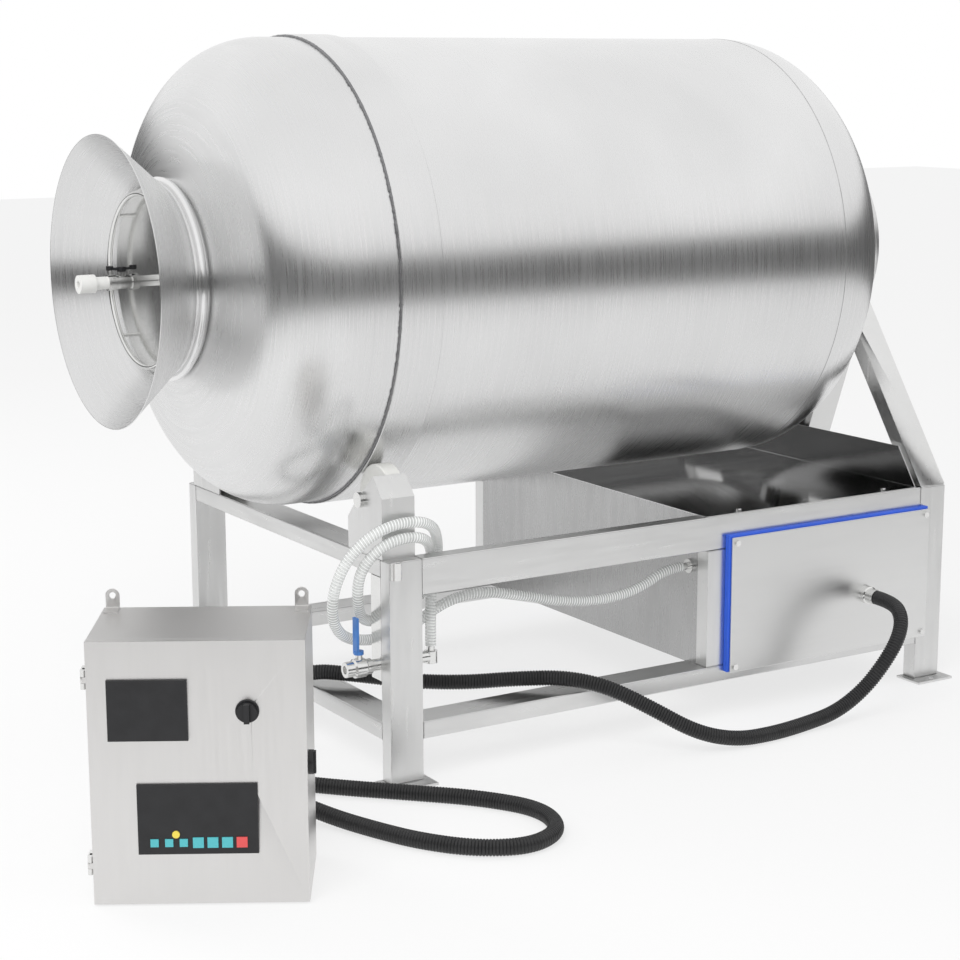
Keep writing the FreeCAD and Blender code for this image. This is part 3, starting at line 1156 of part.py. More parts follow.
def cabinet_controls():
    bore = "KnobStemRadius + ShaftClearance"
    ring = turned([("0", bore), ("0", "KnobRingRadius"), ("KnobRingDepth - 1", "KnobRingRadius"),
                   ("KnobRingDepth", "KnobRingRadius - 1"), ("KnobRingDepth", bore)],
                  "KnobLeft", "0", "KnobBase", "-Y")
    neck = cut(rod("KnobLeft", "-1", "KnobBase", "KnobNeckRadius", "CabinetWall + 1", "+Y"),
               rod("KnobLeft", "-2", "KnobBase", bore, "10", "+Y"))
    block = cut(box("KnobLeft - 15", "CabinetWall", "KnobBase - 15", "30", "14", "30"),
                rod("KnobLeft", "0", "KnobBase", bore, "12", "+Y"))
    node("knob_base", in_cabinet(fuse(ring, neck, block)))
    grip = rod("KnobLeft", "-KnobRingDepth - 0.3", "KnobBase", "KnobRadius", "KnobDepth / 2", "-Y")
    bar = box("KnobLeft - 5", "-KnobRingDepth - KnobDepth", "KnobBase - KnobRadius",
              "10", "KnobDepth / 2 + 2", "2 * KnobRadius")
    stem = rod("KnobLeft", "-KnobRingDepth - 1", "KnobBase", "KnobStemRadius", "KnobRingDepth + 10", "+Y")
    node("speed_knob", in_cabinet(fuse(grip, bar, stem)))
    disc = rod("CabinetWidth + 0.3", "SwitchInset", "SwitchHeight", "SwitchRadius", "SwitchDepth - 5", "+X")
    handle = box("CabinetWidth + SwitchDepth - 6", "SwitchInset - 6", "SwitchHeight - SwitchRadius + 2",
                 "6", "12", "2 * SwitchRadius - 4")
    node("main_switch", in_cabinet(fuse(disc, handle)))


frame_posts()
foot_plates()
side_rails()
cross_rails()
housing_sheets()
cover_panels()
cover_screws()
chain_housing()
stand_legs()
rear_bearing()
drum()
lid()
rollers()
chain_drive()
gearmotor()
vacuum_pump()
hose_side()
cords()
cabinet_body()
cabinet_door()
cabinet_controls()
doc.recompute()

faults = []
for item in doc.Objects:
    if "Invalid" in item.State or "Error" in item.State:
        faults.append("%s (%s): %s" % (item.Name, item.Label, item.State))
for item in nodes:
    if item.Shape.isNull() or not item.Shape.isValid() or not item.Shape.Solids:
        faults.append("%s has no valid solid" % item.Label)
if faults:
    raise SystemExit("\n".join(faults))

os.makedirs("parts", exist_ok=True)
for item in nodes:
    item.Shape.exportStep("parts/%s.step" % item.Label)
print(len(nodes), "nodes written")
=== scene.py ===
import bpy
import bmesh
import math
import random
from mathutils import Matrix, Vector


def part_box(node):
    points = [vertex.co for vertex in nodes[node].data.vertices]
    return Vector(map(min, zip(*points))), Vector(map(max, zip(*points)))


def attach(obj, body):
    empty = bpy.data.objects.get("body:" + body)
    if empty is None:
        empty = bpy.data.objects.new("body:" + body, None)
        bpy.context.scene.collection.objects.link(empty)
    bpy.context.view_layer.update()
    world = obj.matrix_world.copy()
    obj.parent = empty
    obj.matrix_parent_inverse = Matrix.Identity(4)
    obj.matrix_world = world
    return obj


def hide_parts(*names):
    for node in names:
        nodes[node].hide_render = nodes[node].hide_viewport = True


# Meat vacuum tumbler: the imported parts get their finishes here, and the pieces whose
# real shape is finer than the solids are built over them. Metres, +Z up.

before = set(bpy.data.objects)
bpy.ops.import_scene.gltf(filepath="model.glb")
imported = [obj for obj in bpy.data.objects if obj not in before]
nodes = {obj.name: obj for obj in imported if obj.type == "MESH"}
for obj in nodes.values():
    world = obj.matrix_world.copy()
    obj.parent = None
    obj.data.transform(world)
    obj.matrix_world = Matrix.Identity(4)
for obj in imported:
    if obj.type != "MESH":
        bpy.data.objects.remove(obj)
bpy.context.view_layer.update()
mm = 0.001
axisZ = 1.072
print("frame loaded:", len(nodes), "nodes")


# ------------------------------------------------ helpers for meshes
def finishMesh(name, bm, material, body, replaces=(), smoothAngle=35):
    bmesh.ops.recalc_face_normals(bm, faces=bm.faces)
    mesh = bpy.data.meshes.new(name)
    bm.to_mesh(mesh)
    bm.free()
    for polygon in mesh.polygons:
        polygon.use_smooth = True
    mesh.set_sharp_from_angle(angle=math.radians(smoothAngle))
    mesh.materials.append(material)
    piece = bpy.data.objects.new(name, mesh)
    bpy.context.scene.collection.objects.link(piece)
    if replaces:
        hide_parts(*replaces)
    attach(piece, body)
    return piece


def frameTo(direction):
    return Vector(direction).normalized().to_track_quat("Z", "Y").to_matrix().to_4x4()


def latheOf(bm, profile, origin, direction, steps=96):
    # profile: a closed loop of (distance along the direction, radius)
    place = Matrix.Translation(Vector(origin)) @ frameTo(direction)
    rings = []
    for i in range(steps):
        turn = 2 * math.pi * i / steps
        rings.append([bm.verts.new(place @ Vector((radius * math.cos(turn), radius * math.sin(turn), along)))
                      for along, radius in profile])
    for i in range(steps):
        ringA, ringB = rings[i], rings[(i + 1) % steps]
        for j in range(len(profile)):
            k = (j + 1) % len(profile)
            bm.faces.new([ringA[j], ringA[k], ringB[k], ringB[j]])


def ringOf(bm, origin, direction, radius, tube, steps=96, tubeSteps=16, wobble=0.0, seed=1):
    rand = random.Random(seed)
    place = Matrix.Translation(Vector(origin)) @ frameTo(direction)
    rings = []
    for i in range(steps):
        turn = 2 * math.pi * i / steps
        swell = 1 + wobble * rand.uniform(-1, 1)
        shift = wobble * tube * rand.uniform(-0.6, 0.6)
        ring = []
        for j in range(tubeSteps):
            roll = 2 * math.pi * j / tubeSteps
            reach = radius + tube * swell * math.cos(roll)
            ring.append(bm.verts.new(place @ Vector((reach * math.cos(turn), reach * math.sin(turn),
                                                     shift + tube * swell * math.sin(roll)))))
        rings.append(ring)
    for i in range(steps):
        for j in range(tubeSteps):
            k = (j + 1) % tubeSteps
            nextRing = rings[(i + 1) % steps]
            bm.faces.new([rings[i][j], rings[i][k], nextRing[k], nextRing[j]])


def tubeAlong(bm, points, radii, sides=16, uvLayer=None):
    # a tube on a polyline, with a radius for each point; u runs along it and v round it
    tangents = []
    for i, point in enumerate(points):
        before, after = points[max(i - 1, 0)], points[min(i + 1, len(points) - 1)]
        tangents.append((after - before).normalized())
    side = tangents[0].orthogonal().normalized()
    rings, lengths, run = [], [], 0.0
    for i, (point, tangent) in enumerate(zip(points, tangents)):
        side = (side - tangent * side.dot(tangent)).normalized()
        up = tangent.cross(side)
        rings.append([bm.verts.new(point + radii[i] * (math.cos(2 * math.pi * j / sides) * side
                                                       + math.sin(2 * math.pi * j / sides) * up))
                      for j in range(sides)])
        if i:
            run += (point - points[i - 1]).length
        lengths.append(run)
    for i in range(len(points) - 1):
        for j in range(sides):
            k = (j + 1) % sides
            face = bm.faces.new([rings[i][j], rings[i][k], rings[i + 1][k], rings[i + 1][j]])
            if uvLayer is not None:
                for loop, (u, v) in zip(face.loops, ((lengths[i], j), (lengths[i], j + 1),
                                                     (lengths[i + 1], j + 1), (lengths[i + 1], j))):
                    loop[uvLayer].uv = (u, v / sides)
    bm.faces.new(list(reversed(rings[0])))
    bm.faces.new(rings[-1])


def softenEdges(name, width, segments=2):
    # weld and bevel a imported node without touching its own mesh
    piece = nodes[name]
    weld = piece.modifiers.new("weld", "WELD")
    weld.merge_threshold = 0.00002
    bevel = piece.modifiers.new("bevel", "BEVEL")
    bevel.width = width * mm
    bevel.segments = segments
    bevel.harden_normals = True
    bevel.limit_method = "ANGLE"
    bevel.angle_limit = math.radians(50)


# --------------------------------------------------- shader groups
def newGroup(name, inputs, outputs):
    group = bpy.data.node_groups.new(name, "ShaderNodeTree")
    for label, kind, value in inputs:
        socket = group.interface.new_socket(label, in_out="INPUT", socket_type=kind)
        if value is not None:
            socket.default_value = value
    for label, kind in outputs:
        group.interface.new_socket(label, in_out="OUTPUT", socket_type=kind)
    start, end = group.nodes.new("NodeGroupInput"), group.nodes.new("NodeGroupOutput")
    return group, start, end


def fineGrain():
    # drawn-out grain, cloudy patches and a normal for brushed or rolled metal
    group, start, end = newGroup("fineGrain", [
        ("Stretch", "NodeSocketVector", (40, 40, 40)), ("Patch", "NodeSocketFloat", 3.0),
        ("Depth", "NodeSocketFloat", 0.1)],
        [("Grain", "NodeSocketFloat"), ("Cloud", "NodeSocketFloat"), ("Normal", "NodeSocketVector")])
    tree, link = group.nodes, group.links.new
    place = tree.new("ShaderNodeTexCoord")
    scale = tree.new("ShaderNodeVectorMath")
    scale.operation = "MULTIPLY"
    grain = tree.new("ShaderNodeTexNoise")
    grain.inputs["Scale"].default_value = 1.0
    grain.inputs["Detail"].default_value = 4.0
    grain.inputs["Roughness"].default_value = 0.65
    cloud = tree.new("ShaderNodeTexNoise")
    cloud.inputs["Detail"].default_value = 3.0
    bump = tree.new("ShaderNodeBump")
    bump.inputs["Distance"].default_value = 0.0006
    link(place.outputs["Object"], scale.inputs[0])
    link(start.outputs["Stretch"], scale.inputs[1])
    link(scale.outputs["Vector"], grain.inputs["Vector"])
    link(place.outputs["Object"], cloud.inputs["Vector"])
    link(start.outputs["Patch"], cloud.inputs["Scale"])
    link(grain.outputs["Fac"], bump.inputs["Height"])
    link(start.outputs["Depth"], bump.inputs["Strength"])
    link(grain.outputs["Fac"], end.inputs["Grain"])
    link(cloud.outputs["Fac"], end.inputs["Cloud"])
    link(bump.outputs["Normal"], end.inputs["Normal"])
    return group


grainGroup = fineGrain()


def mapRange(tree, link, value, low, high, fromLow=0.3, fromHigh=0.7):
    node = tree.new("ShaderNodeMapRange")
    node.inputs["From Min"].default_value = fromLow
    node.inputs["From Max"].default_value = fromHigh
    node.inputs["To Min"].default_value = low
    node.inputs["To Max"].default_value = high
    link(value, node.inputs["Value"])
    return node.outputs["Result"]


def surface(name, colour, darker=0.92, metallic=0.0, roughness=(0.3, 0.4), stretch=(40, 40, 40), patch=3.0,
            depth=0.1, mix="Cloud", **sockets):
    # one finish: colour and roughness drift with the grain, other values are plain
    material = bpy.data.materials.new(name)
    material.use_nodes = True
    tree, link = material.node_tree.nodes, material.node_tree.links.new
    shader = tree["Principled BSDF"]
    grain = tree.new("ShaderNodeGroup")
    grain.node_tree = grainGroup
    grain.inputs["Stretch"].default_value = stretch
    grain.inputs["Patch"].default_value = patch
    grain.inputs["Depth"].default_value = depth
    blend = tree.new("ShaderNodeMix")
    blend.data_type = "RGBA"
    blend.inputs["A"].default_value = (*[part * darker for part in colour], 1)
    blend.inputs["B"].default_value = (*colour, 1)
    link(mapRange(tree, link, grain.outputs[mix], 0.0, 1.0), blend.inputs["Factor"])
    link(blend.outputs["Result"], shader.inputs["Base Color"])
    link(mapRange(tree, link, grain.outputs["Grain"], *roughness), shader.inputs["Roughness"])
    link(grain.outputs["Normal"], shader.inputs["Normal"])
    shader.inputs["Metallic"].default_value = metallic
    for label, value in sockets.items():
        shader.inputs[label].default_value = value
    material.diffuse_color = (*colour, 1)
    return material


finishes = {
    "drumSteel": surface("drumSteel", (0.80, 0.80, 0.80), 0.9, 1.0, (0.24, 0.34), (5, 420, 5), 2.2, 0.16,
                         Anisotropic=0.35),
    "neckSteel": surface("neckSteel", (0.84, 0.84, 0.84), 0.92, 1.0, (0.16, 0.24), (6, 300, 6), 4.0, 0.1),
    "frameSteel": surface("frameSteel", (0.78, 0.78, 0.775), 0.9, 1.0, (0.26, 0.38), (90, 5, 90), 3.0, 0.12),
    "postSteel": surface("postSteel", (0.78, 0.78, 0.775), 0.9, 1.0, (0.26, 0.38), (90, 90, 5), 3.0, 0.12),
    "crossSteel": surface("crossSteel", (0.76, 0.76, 0.755), 0.9, 1.0, (0.26, 0.38), (5, 90, 90), 3.0, 0.12),
    "sheetSteel": surface("sheetSteel", (0.74, 0.74, 0.735), 0.92, 1.0, (0.28, 0.36), (4, 8, 260), 1.6, 0.08),
    "panelSteel": surface("panelSteel", (0.80, 0.80, 0.795), 0.94, 1.0, (0.30, 0.38),
                          (60, 6, 260), 1.3, 0.08),
    "mirrorSteel": surface("mirrorSteel", (0.62, 0.62, 0.62), 0.9, 1.0, (0.07, 0.12), (30, 4, 30), 1.5, 0.03),
    "wallSteel": surface("wallSteel", (0.50, 0.50, 0.50), 0.85, 1.0, (0.22, 0.32), (40, 40, 6), 2.0, 0.06),
    "cabinetSteel": surface("cabinetSteel", (0.80, 0.79, 0.78), 0.95, 1.0, (0.32, 0.40),
                            (220, 220, 8), 1.4, 0.07),
    "brightSteel": surface("brightSteel", (0.82, 0.82, 0.81), 0.9, 1.0, (0.12, 0.22),
                           (120, 120, 120), 12.0, 0.05),
    "weldBead": surface("weldBead", (0.40, 0.40, 0.41), 0.35, 1.0, (0.25, 0.55), (700, 500, 700), 60.0, 0.8,
                        mix="Grain"),
    "seamLine": surface("seamLine", (0.55, 0.55, 0.55), 0.7, 1.0, (0.3, 0.45), (200, 200, 200), 20.0, 0.2),
    "darkIron": surface("darkIron", (0.10, 0.10, 0.105), 0.7, 1.0, (0.35, 0.5), (200, 200, 200), 25.0, 0.2),
    "blueGasket": surface("blueGasket", (0.03, 0.13, 0.80), 0.85, 0.0, (0.35, 0.5), (60, 60, 60), 8.0, 0.08),
    "paleSeal": surface("paleSeal", (0.62, 0.62, 0.60), 0.9, 0.0, (0.5, 0.6), (80, 80, 80), 9.0, 0.08),
    "nylon": surface("nylon", (0.86, 0.86, 0.83), 0.94, 0.0, (0.4, 0.5), (90, 400, 90), 10.0, 0.1),
    "whitePlastic": surface("whitePlastic", (0.86, 0.86, 0.84), 0.94, 0.0, (0.3, 0.42),
                            (120, 120, 120), 16.0, 0.05),
    "blackPlastic": surface("blackPlastic", (0.016, 0.016, 0.018), 0.7, 0.0, (0.32, 0.48),
                            (400, 400, 400), 30.0, 0.1),
    "blueGrip": surface("blueGrip", (0.06, 0.22, 0.62), 0.85, 0.0, (0.3, 0.42), (160, 160, 160), 25.0, 0.08),
    "greyPaint": surface("greyPaint", (0.16, 0.18, 0.20), 0.85, 0.0, (0.4, 0.55),
                         (300, 300, 300), 10.0, 0.12),
    "conduitBlack": surface("conduitBlack", (0.022, 0.022, 0.023), 0.65, 0.0, (0.34, 0.5),
                            (260, 260, 260), 22.0, 0.12),
}
print("finishes made:", len(finishes))


# ---------------------------------------------------- camera, stage
def makeCamera():
    view = {"azimuth": 58.4165, "elevation": 11.2039, "roll": -0.1704, "lens": 78.17,
            "place": (4.2772, -2.8816, 1.5293)}
    azimuth, elevation = math.radians(view["azimuth"]), math.radians(view["elevation"])
    ahead = Vector((-math.sin(azimuth) * math.cos(elevation), math.cos(azimuth) * math.cos(elevation),
                    -math.sin(elevation)))
    right = ahead.cross(Vector((0, 0, 1))).normalized()
    turn = Matrix((right, right.cross(ahead), -ahead)).transposed()
    data = bpy.data.cameras.new("camera")
    data.sensor_width = 36
    data.lens = view["lens"]
    camera = bpy.data.objects.new("camera", data)
    bpy.context.scene.collection.objects.link(camera)
    camera.matrix_world = (Matrix.Translation(view["place"]) @ turn.to_4x4()
                           @ Matrix.Rotation(math.radians(view["roll"]), 4, "Z"))
    bpy.context.scene.camera = camera


def stageObject(name, bm, material):
    mesh = bpy.data.meshes.new(name)
    bm.to_mesh(mesh)
    bm.free()
    mesh.materials.append(material)
    piece = bpy.data.objects.new(name, mesh)
    bpy.context.scene.collection.objects.link(piece)
    return piece


def makeStage():
    studio = {"floorSize": 40.0, "floorColour": 0.86, "floorRoughness": 0.9, "floorShine": 0.1,
              "floorGlow": 0.72, "worldLight": 0.75, "cardRadius": 6.2, "cardLow": 0.0, "cardHigh": 2.05,
              "cardShade": 0.10, "cardSteps": 96}
    scene = bpy.context.scene
    scene.view_settings.view_transform = "Standard"

    floorMaterial = bpy.data.materials.new("floor")
    floorMaterial.use_nodes = True
    tree, link = floorMaterial.node_tree.nodes, floorMaterial.node_tree.links.new
    shader, output = tree["Principled BSDF"], tree["Material Output"]
    shader.inputs["Base Color"].default_value = (*[studio["floorColour"]] * 3, 1)
    shader.inputs["Roughness"].default_value = studio["floorRoughness"]
    shader.inputs["Specular IOR Level"].default_value = studio["floorShine"]
    glow, path = tree.new("ShaderNodeEmission"), tree.new("ShaderNodeLightPath")
    mix = tree.new("ShaderNodeMixShader")
    share = tree.new("ShaderNodeMath")
    share.operation = "MULTIPLY"
    share.inputs[1].default_value = studio["floorGlow"]
    anyView = tree.new("ShaderNodeMath")
    anyView.operation = "MAXIMUM"
    link(path.outputs["Is Camera Ray"], anyView.inputs[0])
    link(path.outputs["Is Glossy Ray"], anyView.inputs[1])
    link(anyView.outputs["Value"], share.inputs[0])
    link(share.outputs["Value"], mix.inputs["Fac"])
    link(shader.outputs["BSDF"], mix.inputs[1])
    link(glow.outputs["Emission"], mix.inputs[2])
    link(mix.outputs["Shader"], output.inputs["Surface"])
    bm = bmesh.new()
    half = studio["floorSize"] / 2
    bm.faces.new([bm.verts.new((x * half, y * half, 0)) for x, y in ((-1, -1), (1, -1), (1, 1), (-1, 1))])
    stageObject("floor", bm, floorMaterial)

    # a low dark wall all round, which only the metal's reflections see
    cardMaterial = bpy.data.materials.new("studioWall")
    cardMaterial.use_nodes = True
    tree, link = cardMaterial.node_tree.nodes, cardMaterial.node_tree.links.new
    glow = tree.new("ShaderNodeEmission")
    glow.inputs["Color"].default_value = (*[studio["cardShade"]] * 3, 1)
    link(glow.outputs["Emission"], tree["Material Output"].inputs["Surface"])
    bm = bmesh.new()
    steps = studio["cardSteps"]
    low = [bm.verts.new((studio["cardRadius"] * math.cos(2 * math.pi * i / steps),
                         studio["cardRadius"] * math.sin(2 * math.pi * i / steps), studio["cardLow"]))
           for i in range(steps)]
    high = [bm.verts.new((vert.co.x, vert.co.y, studio["cardHigh"])) for vert in low]
    for i in range(steps):
        k = (i + 1) % steps
        bm.faces.new([low[i], low[k], high[k], high[i]])
    card = stageObject("studioWall", bm, cardMaterial)
    card.visible_camera = False
    card.visible_diffuse = False
    card.visible_shadow = False
    card.visible_transmission = False

    world = bpy.data.worlds.new("world")
    scene.world = world
    world.use_nodes = True
    tree, link = world.node_tree.nodes, world.node_tree.links.new
    path, mix = tree.new("ShaderNodeLightPath"), tree.new("ShaderNodeMixShader")
    plain, white = tree["Background"], tree.new("ShaderNodeBackground")
    plain.inputs["Color"].default_value = (1, 1, 1, 1)
    plain.inputs["Strength"].default_value = studio["worldLight"]
    white.inputs["Color"].default_value = (1, 1, 1, 1)
    white.inputs["Strength"].default_value = 1.0
    seen, seenToo = tree.new("ShaderNodeMath"), tree.new("ShaderNodeMath")
    seen.operation = seenToo.operation = "MAXIMUM"
    link(path.outputs["Is Camera Ray"], seen.inputs[0])
    link(path.outputs["Is Glossy Ray"], seen.inputs[1])
    link(seen.outputs["Value"], seenToo.inputs[0])
    link(path.outputs["Is Transmission Ray"], seenToo.inputs[1])
    link(seenToo.outputs["Value"], mix.inputs["Fac"])
    link(plain.outputs["Background"], mix.inputs[1])
    link(white.outputs["Background"], mix.inputs[2])
    link(mix.outputs["Shader"], tree["World Output"].inputs["Surface"])

    lamps = [("keyLamp", (3.0, -3.5, 4.6), (0, 0, 0.9), 3.2, 150),
             ("fillLamp", (-3.8, -3.0, 3.6), (0, 0, 0.8), 2.6, 60)]
    for name, place, aim, size, power in lamps:
        data = bpy.data.lights.new(name, "AREA")
        data.shape = "SQUARE"
        data.size = size
        data.energy = power
        lamp = bpy.data.objects.new(name, data)
        lamp.visible_glossy = False
        scene.collection.objects.link(lamp)
        lamp.location = place
        lamp.rotation_euler = (Vector(aim) - Vector(place)).to_track_quat("-Z", "Y").to_euler()


makeCamera()
makeStage()
print("camera and stage ready")


# ------------------------------------------------------------ cords
def routeLine(name, points):
    # the smooth line of a cord, read from a NURBS spline on its route points
    curve = bpy.data.curves.new(name, "CURVE")
    curve.dimensions = "3D"
    curve.resolution_u = 14
    spline = curve.splines.new("NURBS")
    spline.points.add(len(points) - 1)
    for target, point in zip(spline.points, points):
        target.co = (*[part * mm for part in point], 1)
    spline.order_u = 3
    spline.use_endpoint_u = True
    holder = bpy.data.objects.new(name, curve)
    bpy.context.scene.collection.objects.link(holder)
    bpy.context.view_layer.update()
    mesh = bpy.data.meshes.new_from_object(holder)
    line = [vert.co.copy() for vert in mesh.vertices]
    bpy.data.meshes.remove(mesh)
    bpy.data.objects.remove(holder)
    bpy.data.curves.remove(curve)
    return line


def evenLine(line, step):
    # the same line with points at even distances
    runs = [0.0]
    for a, b in zip(line, line[1:]):
        runs.append(runs[-1] + (b - a).length)
    count = max(2, round(runs[-1] / step))
    points, k = [], 0
    for i in range(count + 1):
        want = runs[-1] * i / count
        while k < len(line) - 2 and runs[k + 1] < want:
            k += 1
        share = (want - runs[k]) / max(runs[k + 1] - runs[k], 1e-9)
        points.append(line[k].lerp(line[k + 1], share))
    return points, runs[-1]


hoseRoute = [
    (459, -662.5, 286), (459, -662.5, 380), (448, -648, 490), (511, -706, 548), (509, -796, 546),
    (484, -850, 486), (462, -846, 405), (412, -802, 342), (402, -706, 352), (418, -634, 412),
    (430, -622, 502), (513, -690, 580), (511, -800, 582), (490, -882, 520), (468, -914, 420),
    (428, -876, 328), (402, -780, 298), (405, -690, 312), (430, -610, 372), (448, -525, 388),
    (452, -425, 364), (453, -310, 334), (452, -200, 322), (453, -100, 333), (453, -22, 372), (453, 27, 372),
]

conduitRoute = [
    (580, 528, 256), (640, 528, 256), (692, 507, 235), (722, 471, 197), (722, 428, 141),
    (698, 388, 76), (688, 312, 30), (690, 215, 18), (706, 105, 18), (706, -2, 22),
    (684, -100, 50), (626, -186, 108), (566, -262, 154), (500, -330, 170), (430, -420, 164),
    (358, -520, 152), (290, -620, 154), (216, -716, 166), (134, -800, 170), (62, -884, 112),
    (20, -985, 44), (60, -1085, 18), (160, -1130, 18), (275, -1090, 18), (390, -1010, 18),
    (500, -915, 18), (610, -800, 18), (720, -690, 18), (840, -620, 18), (958, -650, 18),
    (1006, -748, 18), (960, -850, 18), (865, -925, 18), (765, -970, 18), (665, -1010, 20),
    (575, -1060, 38), (541, -1149, 80), (572.6, -1225.3, 120), (641.9, -1265.3, 120),
]


def hoseMaterial():
    # clear vinyl with a white reinforcing spiral in its wall
    look = {"turns": 150, "spiralWidth": 0.22, "clear": (0.86, 0.88, 0.87), "spiral": (0.93, 0.94, 0.93)}
    material = bpy.data.materials.new("clearVinyl")
    material.use_nodes = True
    tree, link = material.node_tree.nodes, material.node_tree.links.new
    shader = tree["Principled BSDF"]
    uv, split = tree.new("ShaderNodeUVMap"), tree.new("ShaderNodeSeparateXYZ")
    uv.uv_map = "UVMap"
    link(uv.outputs["UV"], split.inputs["Vector"])
    along = tree.new("ShaderNodeMath")
    along.operation = "MULTIPLY_ADD"
    along.inputs[1].default_value = look["turns"]
    link(split.outputs["X"], along.inputs[0])
    link(split.outputs["Y"], along.inputs[2])
    turn = tree.new("ShaderNodeMath")
    turn.operation = "FRACT"
    link(along.outputs["Value"], turn.inputs[0])
    band = tree.new("ShaderNodeMath")
    band.operation = "PINGPONG"
    band.inputs[1].default_value = 0.5
    link(turn.outputs["Value"], band.inputs[0])
    mask = mapRange(tree, link, band.outputs["Value"], 1.0, 0.0,
                    look["spiralWidth"] * 0.5, look["spiralWidth"])
    blend = tree.new("ShaderNodeMix")
    blend.data_type = "RGBA"
    blend.inputs["A"].default_value = (*look["clear"], 1)
    blend.inputs["B"].default_value = (*look["spiral"], 1)
    link(mask, blend.inputs["Factor"])
    link(blend.outputs["Result"], shader.inputs["Base Color"])
    bump = tree.new("ShaderNodeBump")
    bump.inputs["Distance"].default_value = 0.001
    bump.inputs["Strength"].default_value = 0.5
    link(mask, bump.inputs["Height"])
    link(bump.outputs["Normal"], shader.inputs["Normal"])
    link(mapRange(tree, link, mask, 0.45, 0.9, 0.0, 1.0), shader.inputs["Alpha"])
    shader.inputs["Roughness"].default_value = 0.22
    shader.inputs["Coat Weight"].default_value = 0.4
    return material


def clearHose():
    hose = {"radius": 0.012, "step": 0.004, "length": 2.378}
    points, length = evenLine(routeLine("hoseLine", hoseRoute), hose["step"])
    bm = bmesh.new()
    uvLayer = bm.loops.layers.uv.new("UVMap")
    tubeAlong(bm, points, [hose["radius"]] * len(points), 20, uvLayer)
    piece = finishMesh("clearHose", bm, hoseMaterial(), "base", ["clear_hose"], 60)
    print("hose line %.3f m" % length)


def ribbedConduit():
    conduit = {"radius": 0.0175, "root": 0.0152, "shoulder": 0.0003, "pitch": 0.0066, "length": 4.095}
    points, length = evenLine(routeLine("conduitLine", conduitRoute), conduit["pitch"] / 4)
    shoulder = conduit["radius"] - conduit["shoulder"]
    wave = [conduit["root"], shoulder, conduit["radius"], shoulder]
    radii = [wave[i % 4] for i in range(len(points))]
    bm = bmesh.new()
    uvLayer = bm.loops.layers.uv.new("UVMap")
    tubeAlong(bm, points, radii, 18, uvLayer)
    piece = finishMesh("ribbedConduit", bm, finishes["conduitBlack"], "base",
                       ["conduit"], 80)
    print("conduit line %.3f m" % length)


clearHose()
ribbedConduit()
print("cords laid")


# ------------------------------------------------------------- drum
def headProfile(drumRadius, wall, knuckle, crown, flange, hole, offset=0.0, steps=40):
    # a dished head from its straight flange to a central hole: (distance out, radius)
    middle = drumRadius - knuckle
    back = math.sqrt((crown - knuckle) ** 2 - middle ** 2)
    join = math.atan2(middle, back)
    points = [(-flange, drumRadius - offset)]
    for i in range(steps + 1):
        turn = math.pi / 2 + (join - math.pi / 2) * i / steps
        points.append(((knuckle - offset) * math.cos(turn), middle + (knuckle - offset) * math.sin(turn)))
    last = math.asin(hole / (crown - offset))
    for i in range(1, steps + 1):
        turn = join + (last - join) * i / steps
        points.append((-back + (crown - offset) * math.cos(turn), (crown - offset) * math.sin(turn)))
    return points


drumPlan = {"radius": 0.525, "wall": 0.004, "knuckle": 0.200, "crown": 1.250, "weldY": -0.764,
            "rearY": 0.445, "frontFlange": 0.060, "rearFlange": 0.001, "neckRadius": 0.213,
            "hubRadius": 0.110, "bandThickness": 0.006, "bandWidth": 0.100, "bandEdge": 0.0015, "steps": 256}


def drumBody():
    plan = drumPlan
    outer = (plan["radius"], plan["wall"], plan["knuckle"], plan["crown"])
    for name, node, y, flange, hole, facing in (
            ("frontHead", "front_head", plan["weldY"], plan["frontFlange"], plan["neckRadius"], -1),
            ("rearHead", "rear_head", plan["rearY"], plan["rearFlange"], plan["hubRadius"], 1)):
        skin = headProfile(*outer, flange, hole)
        lining = headProfile(*outer, flange, hole, plan["wall"])
        bm = bmesh.new()
        latheOf(bm, skin + lining[::-1], (0, y + facing * flange, axisZ), (0, facing, 0), plan["steps"])
        finishMesh(name, bm, finishes["drumSteel"], "drum", [node])
    bm = bmesh.new()
    inner = plan["radius"] - plan["wall"]
    length = plan["rearY"] - plan["weldY"]
    latheOf(bm, [(0, inner), (0, plan["radius"]), (length, plan["radius"]), (length, inner)],
            (0, plan["weldY"], axisZ), (0, 1, 0), plan["steps"])
    finishMesh("drumShell", bm, finishes["drumSteel"], "drum", ["drum_shell"])
    bm = bmesh.new()
    bandRadius, edge, width = plan["radius"] + plan["bandThickness"], plan["bandEdge"], plan["bandWidth"]
    latheOf(bm, [(0.0, plan["radius"]), (0.0, bandRadius - edge), (edge, bandRadius),
                 (width - edge, bandRadius), (width, bandRadius - edge), (width, plan["radius"])],
            (0, plan["weldY"], axisZ), (0, 1, 0), plan["steps"])
    finishMesh("runningBand", bm, finishes["drumSteel"], "drum", ["running_band"])


def drumSeams():
    plan = drumPlan
    bm = bmesh.new()
    ringOf(bm, (0, plan["weldY"] - 0.001, axisZ), (0, 1, 0), plan["radius"] + 0.0012, 0.0034,
           steps=720, tubeSteps=8, wobble=0.28, seed=4)
    finishMesh("bandWeld", bm, finishes["weldBead"], "drum", smoothAngle=80)
    bm = bmesh.new()
    ringOf(bm, (0, plan["weldY"] + 0.1005, axisZ), (0, 1, 0), plan["radius"] + 0.001, 0.0016, 256, 8)
    ringOf(bm, (0, plan["rearY"], axisZ), (0, 1, 0), plan["radius"] - 0.0004, 0.0011, 256, 8)
    finishMesh("thinSeams", bm, finishes["seamLine"], "drum", smoothAngle=80)


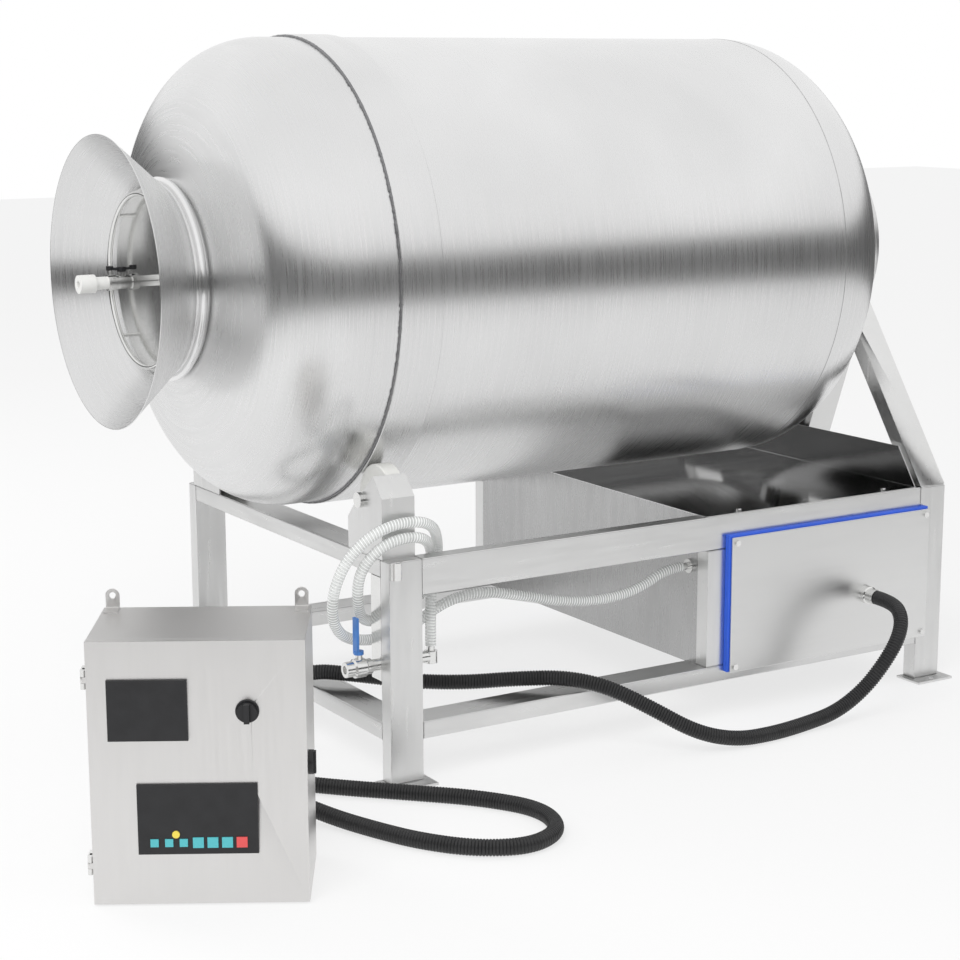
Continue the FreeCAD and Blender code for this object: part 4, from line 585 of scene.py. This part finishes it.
def neckAndFunnel():
    low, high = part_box("neck_ring")
    front, back = low[1], high[1]
    neck = {"outer": 0.213, "inner": 0.209, "seat": 0.188, "seatDepth": 0.005, "bead": 0.225,
            "beadWidth": 0.020, "beadSetback": 0.0138, "beadSteps": 12}
    depth = back - front
    beadEnd = depth - neck["beadSetback"]
    centre = beadEnd - neck["beadWidth"] / 2
    profile = [(0, neck["seat"]), (0, neck["outer"])]
    for i in range(neck["beadSteps"] + 1):
        turn = math.pi * i / neck["beadSteps"]
        profile.append((centre - neck["beadWidth"] / 2 * math.cos(turn),
                        neck["outer"] + (neck["bead"] - neck["outer"]) * math.sin(turn) ** 0.8))
    profile += [(depth, neck["outer"]), (depth, neck["inner"]), (neck["seatDepth"], neck["inner"]),
                (neck["seatDepth"], neck["seat"])]
    bm = bmesh.new()
    latheOf(bm, profile, (0, front, axisZ), (0, 1, 0), 192)
    finishMesh("neckRing", bm, finishes["neckSteel"], "drum", ["neck_ring"])

    funnel = {"neck": 0.213, "rim": 0.320, "depth": 0.127, "wall": 0.003}
    lip = funnel["wall"] / 2
    profile = [(0, funnel["neck"] - funnel["wall"]), (0, funnel["neck"])]
    profile.append((funnel["depth"] - 0.001, funnel["rim"] - 0.0004))
    for i in range(7):
        turn = math.pi / 2 - math.pi * i / 6
        profile.append((funnel["depth"] - lip + lip * math.cos(turn),
                        funnel["rim"] - lip + lip * math.sin(turn)))
    bm = bmesh.new()
    latheOf(bm, profile, (0, front, axisZ), (0, -1, 0), 192)
    finishMesh("funnel", bm, finishes["drumSteel"], "drum", ["funnel"])


drumBody()
drumSeams()
neckAndFunnel()
print("drum dressed")


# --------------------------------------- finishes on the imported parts
plainParts = {
    "frameSteel": ["side_rails"],
    "postSteel": ["frame_posts", "stand_legs", "roller_brackets", "foot_plates"],
    "crossSteel": ["cross_rails"],
    "panelSteel": ["cover_panels"],
    "mirrorSteel": ["housing_roof"],
    "wallSteel": ["housing_front_wall", "housing_floor"],
    "sheetSteel": ["chain_housing", "chain_housing_cap"],
    "brightSteel": ["cover_screws", "roller_axles", "lid_valve", "ball_valve", "ports_and_glands",
                    "rear_shaft", "hose_clip", "cabinet_hinges", "lid_plate"],
    "drumSteel": ["mixing_baffles"],
    "blueGasket": ["panel_gaskets"],
    "paleSeal": ["lid_seal"],
    "nylon": ["roller_right", "roller_left"],
    "whitePlastic": ["hose_connector"],
    "blackPlastic": ["lid_valve_handle", "speed_knob", "knob_base", "main_switch", "operator_panel",
                     "keypad"],
    "blueGrip": ["valve_lever"],
    "greyPaint": ["gearbox", "drive_motor", "vacuum_pump", "rear_bearing", "cabinet_controls"],
    "darkIron": ["drive_chain", "drum_sprocket", "drive_shaft"],
    "cabinetSteel": ["cabinet_shell", "cabinet_door"],
}
for finish, names in plainParts.items():
    for name in names:
        piece = nodes[name]
        piece.data.materials.clear()
        piece.data.materials.append(finishes[finish])
edgeWidths = {"side_rails": 3, "frame_posts": 3, "cross_rails": 3, "stand_legs": 3, "roller_brackets": 1.5,
              "cover_panels": 2, "panel_gaskets": 1.5, "foot_plates": 1, "cabinet_shell": 1.5,
              "cabinet_door": 1.5, "chain_housing": 1, "housing_roof": 0.6}
for name, width in edgeWidths.items():
    softenEdges(name, width)
print("packed parts dressed")
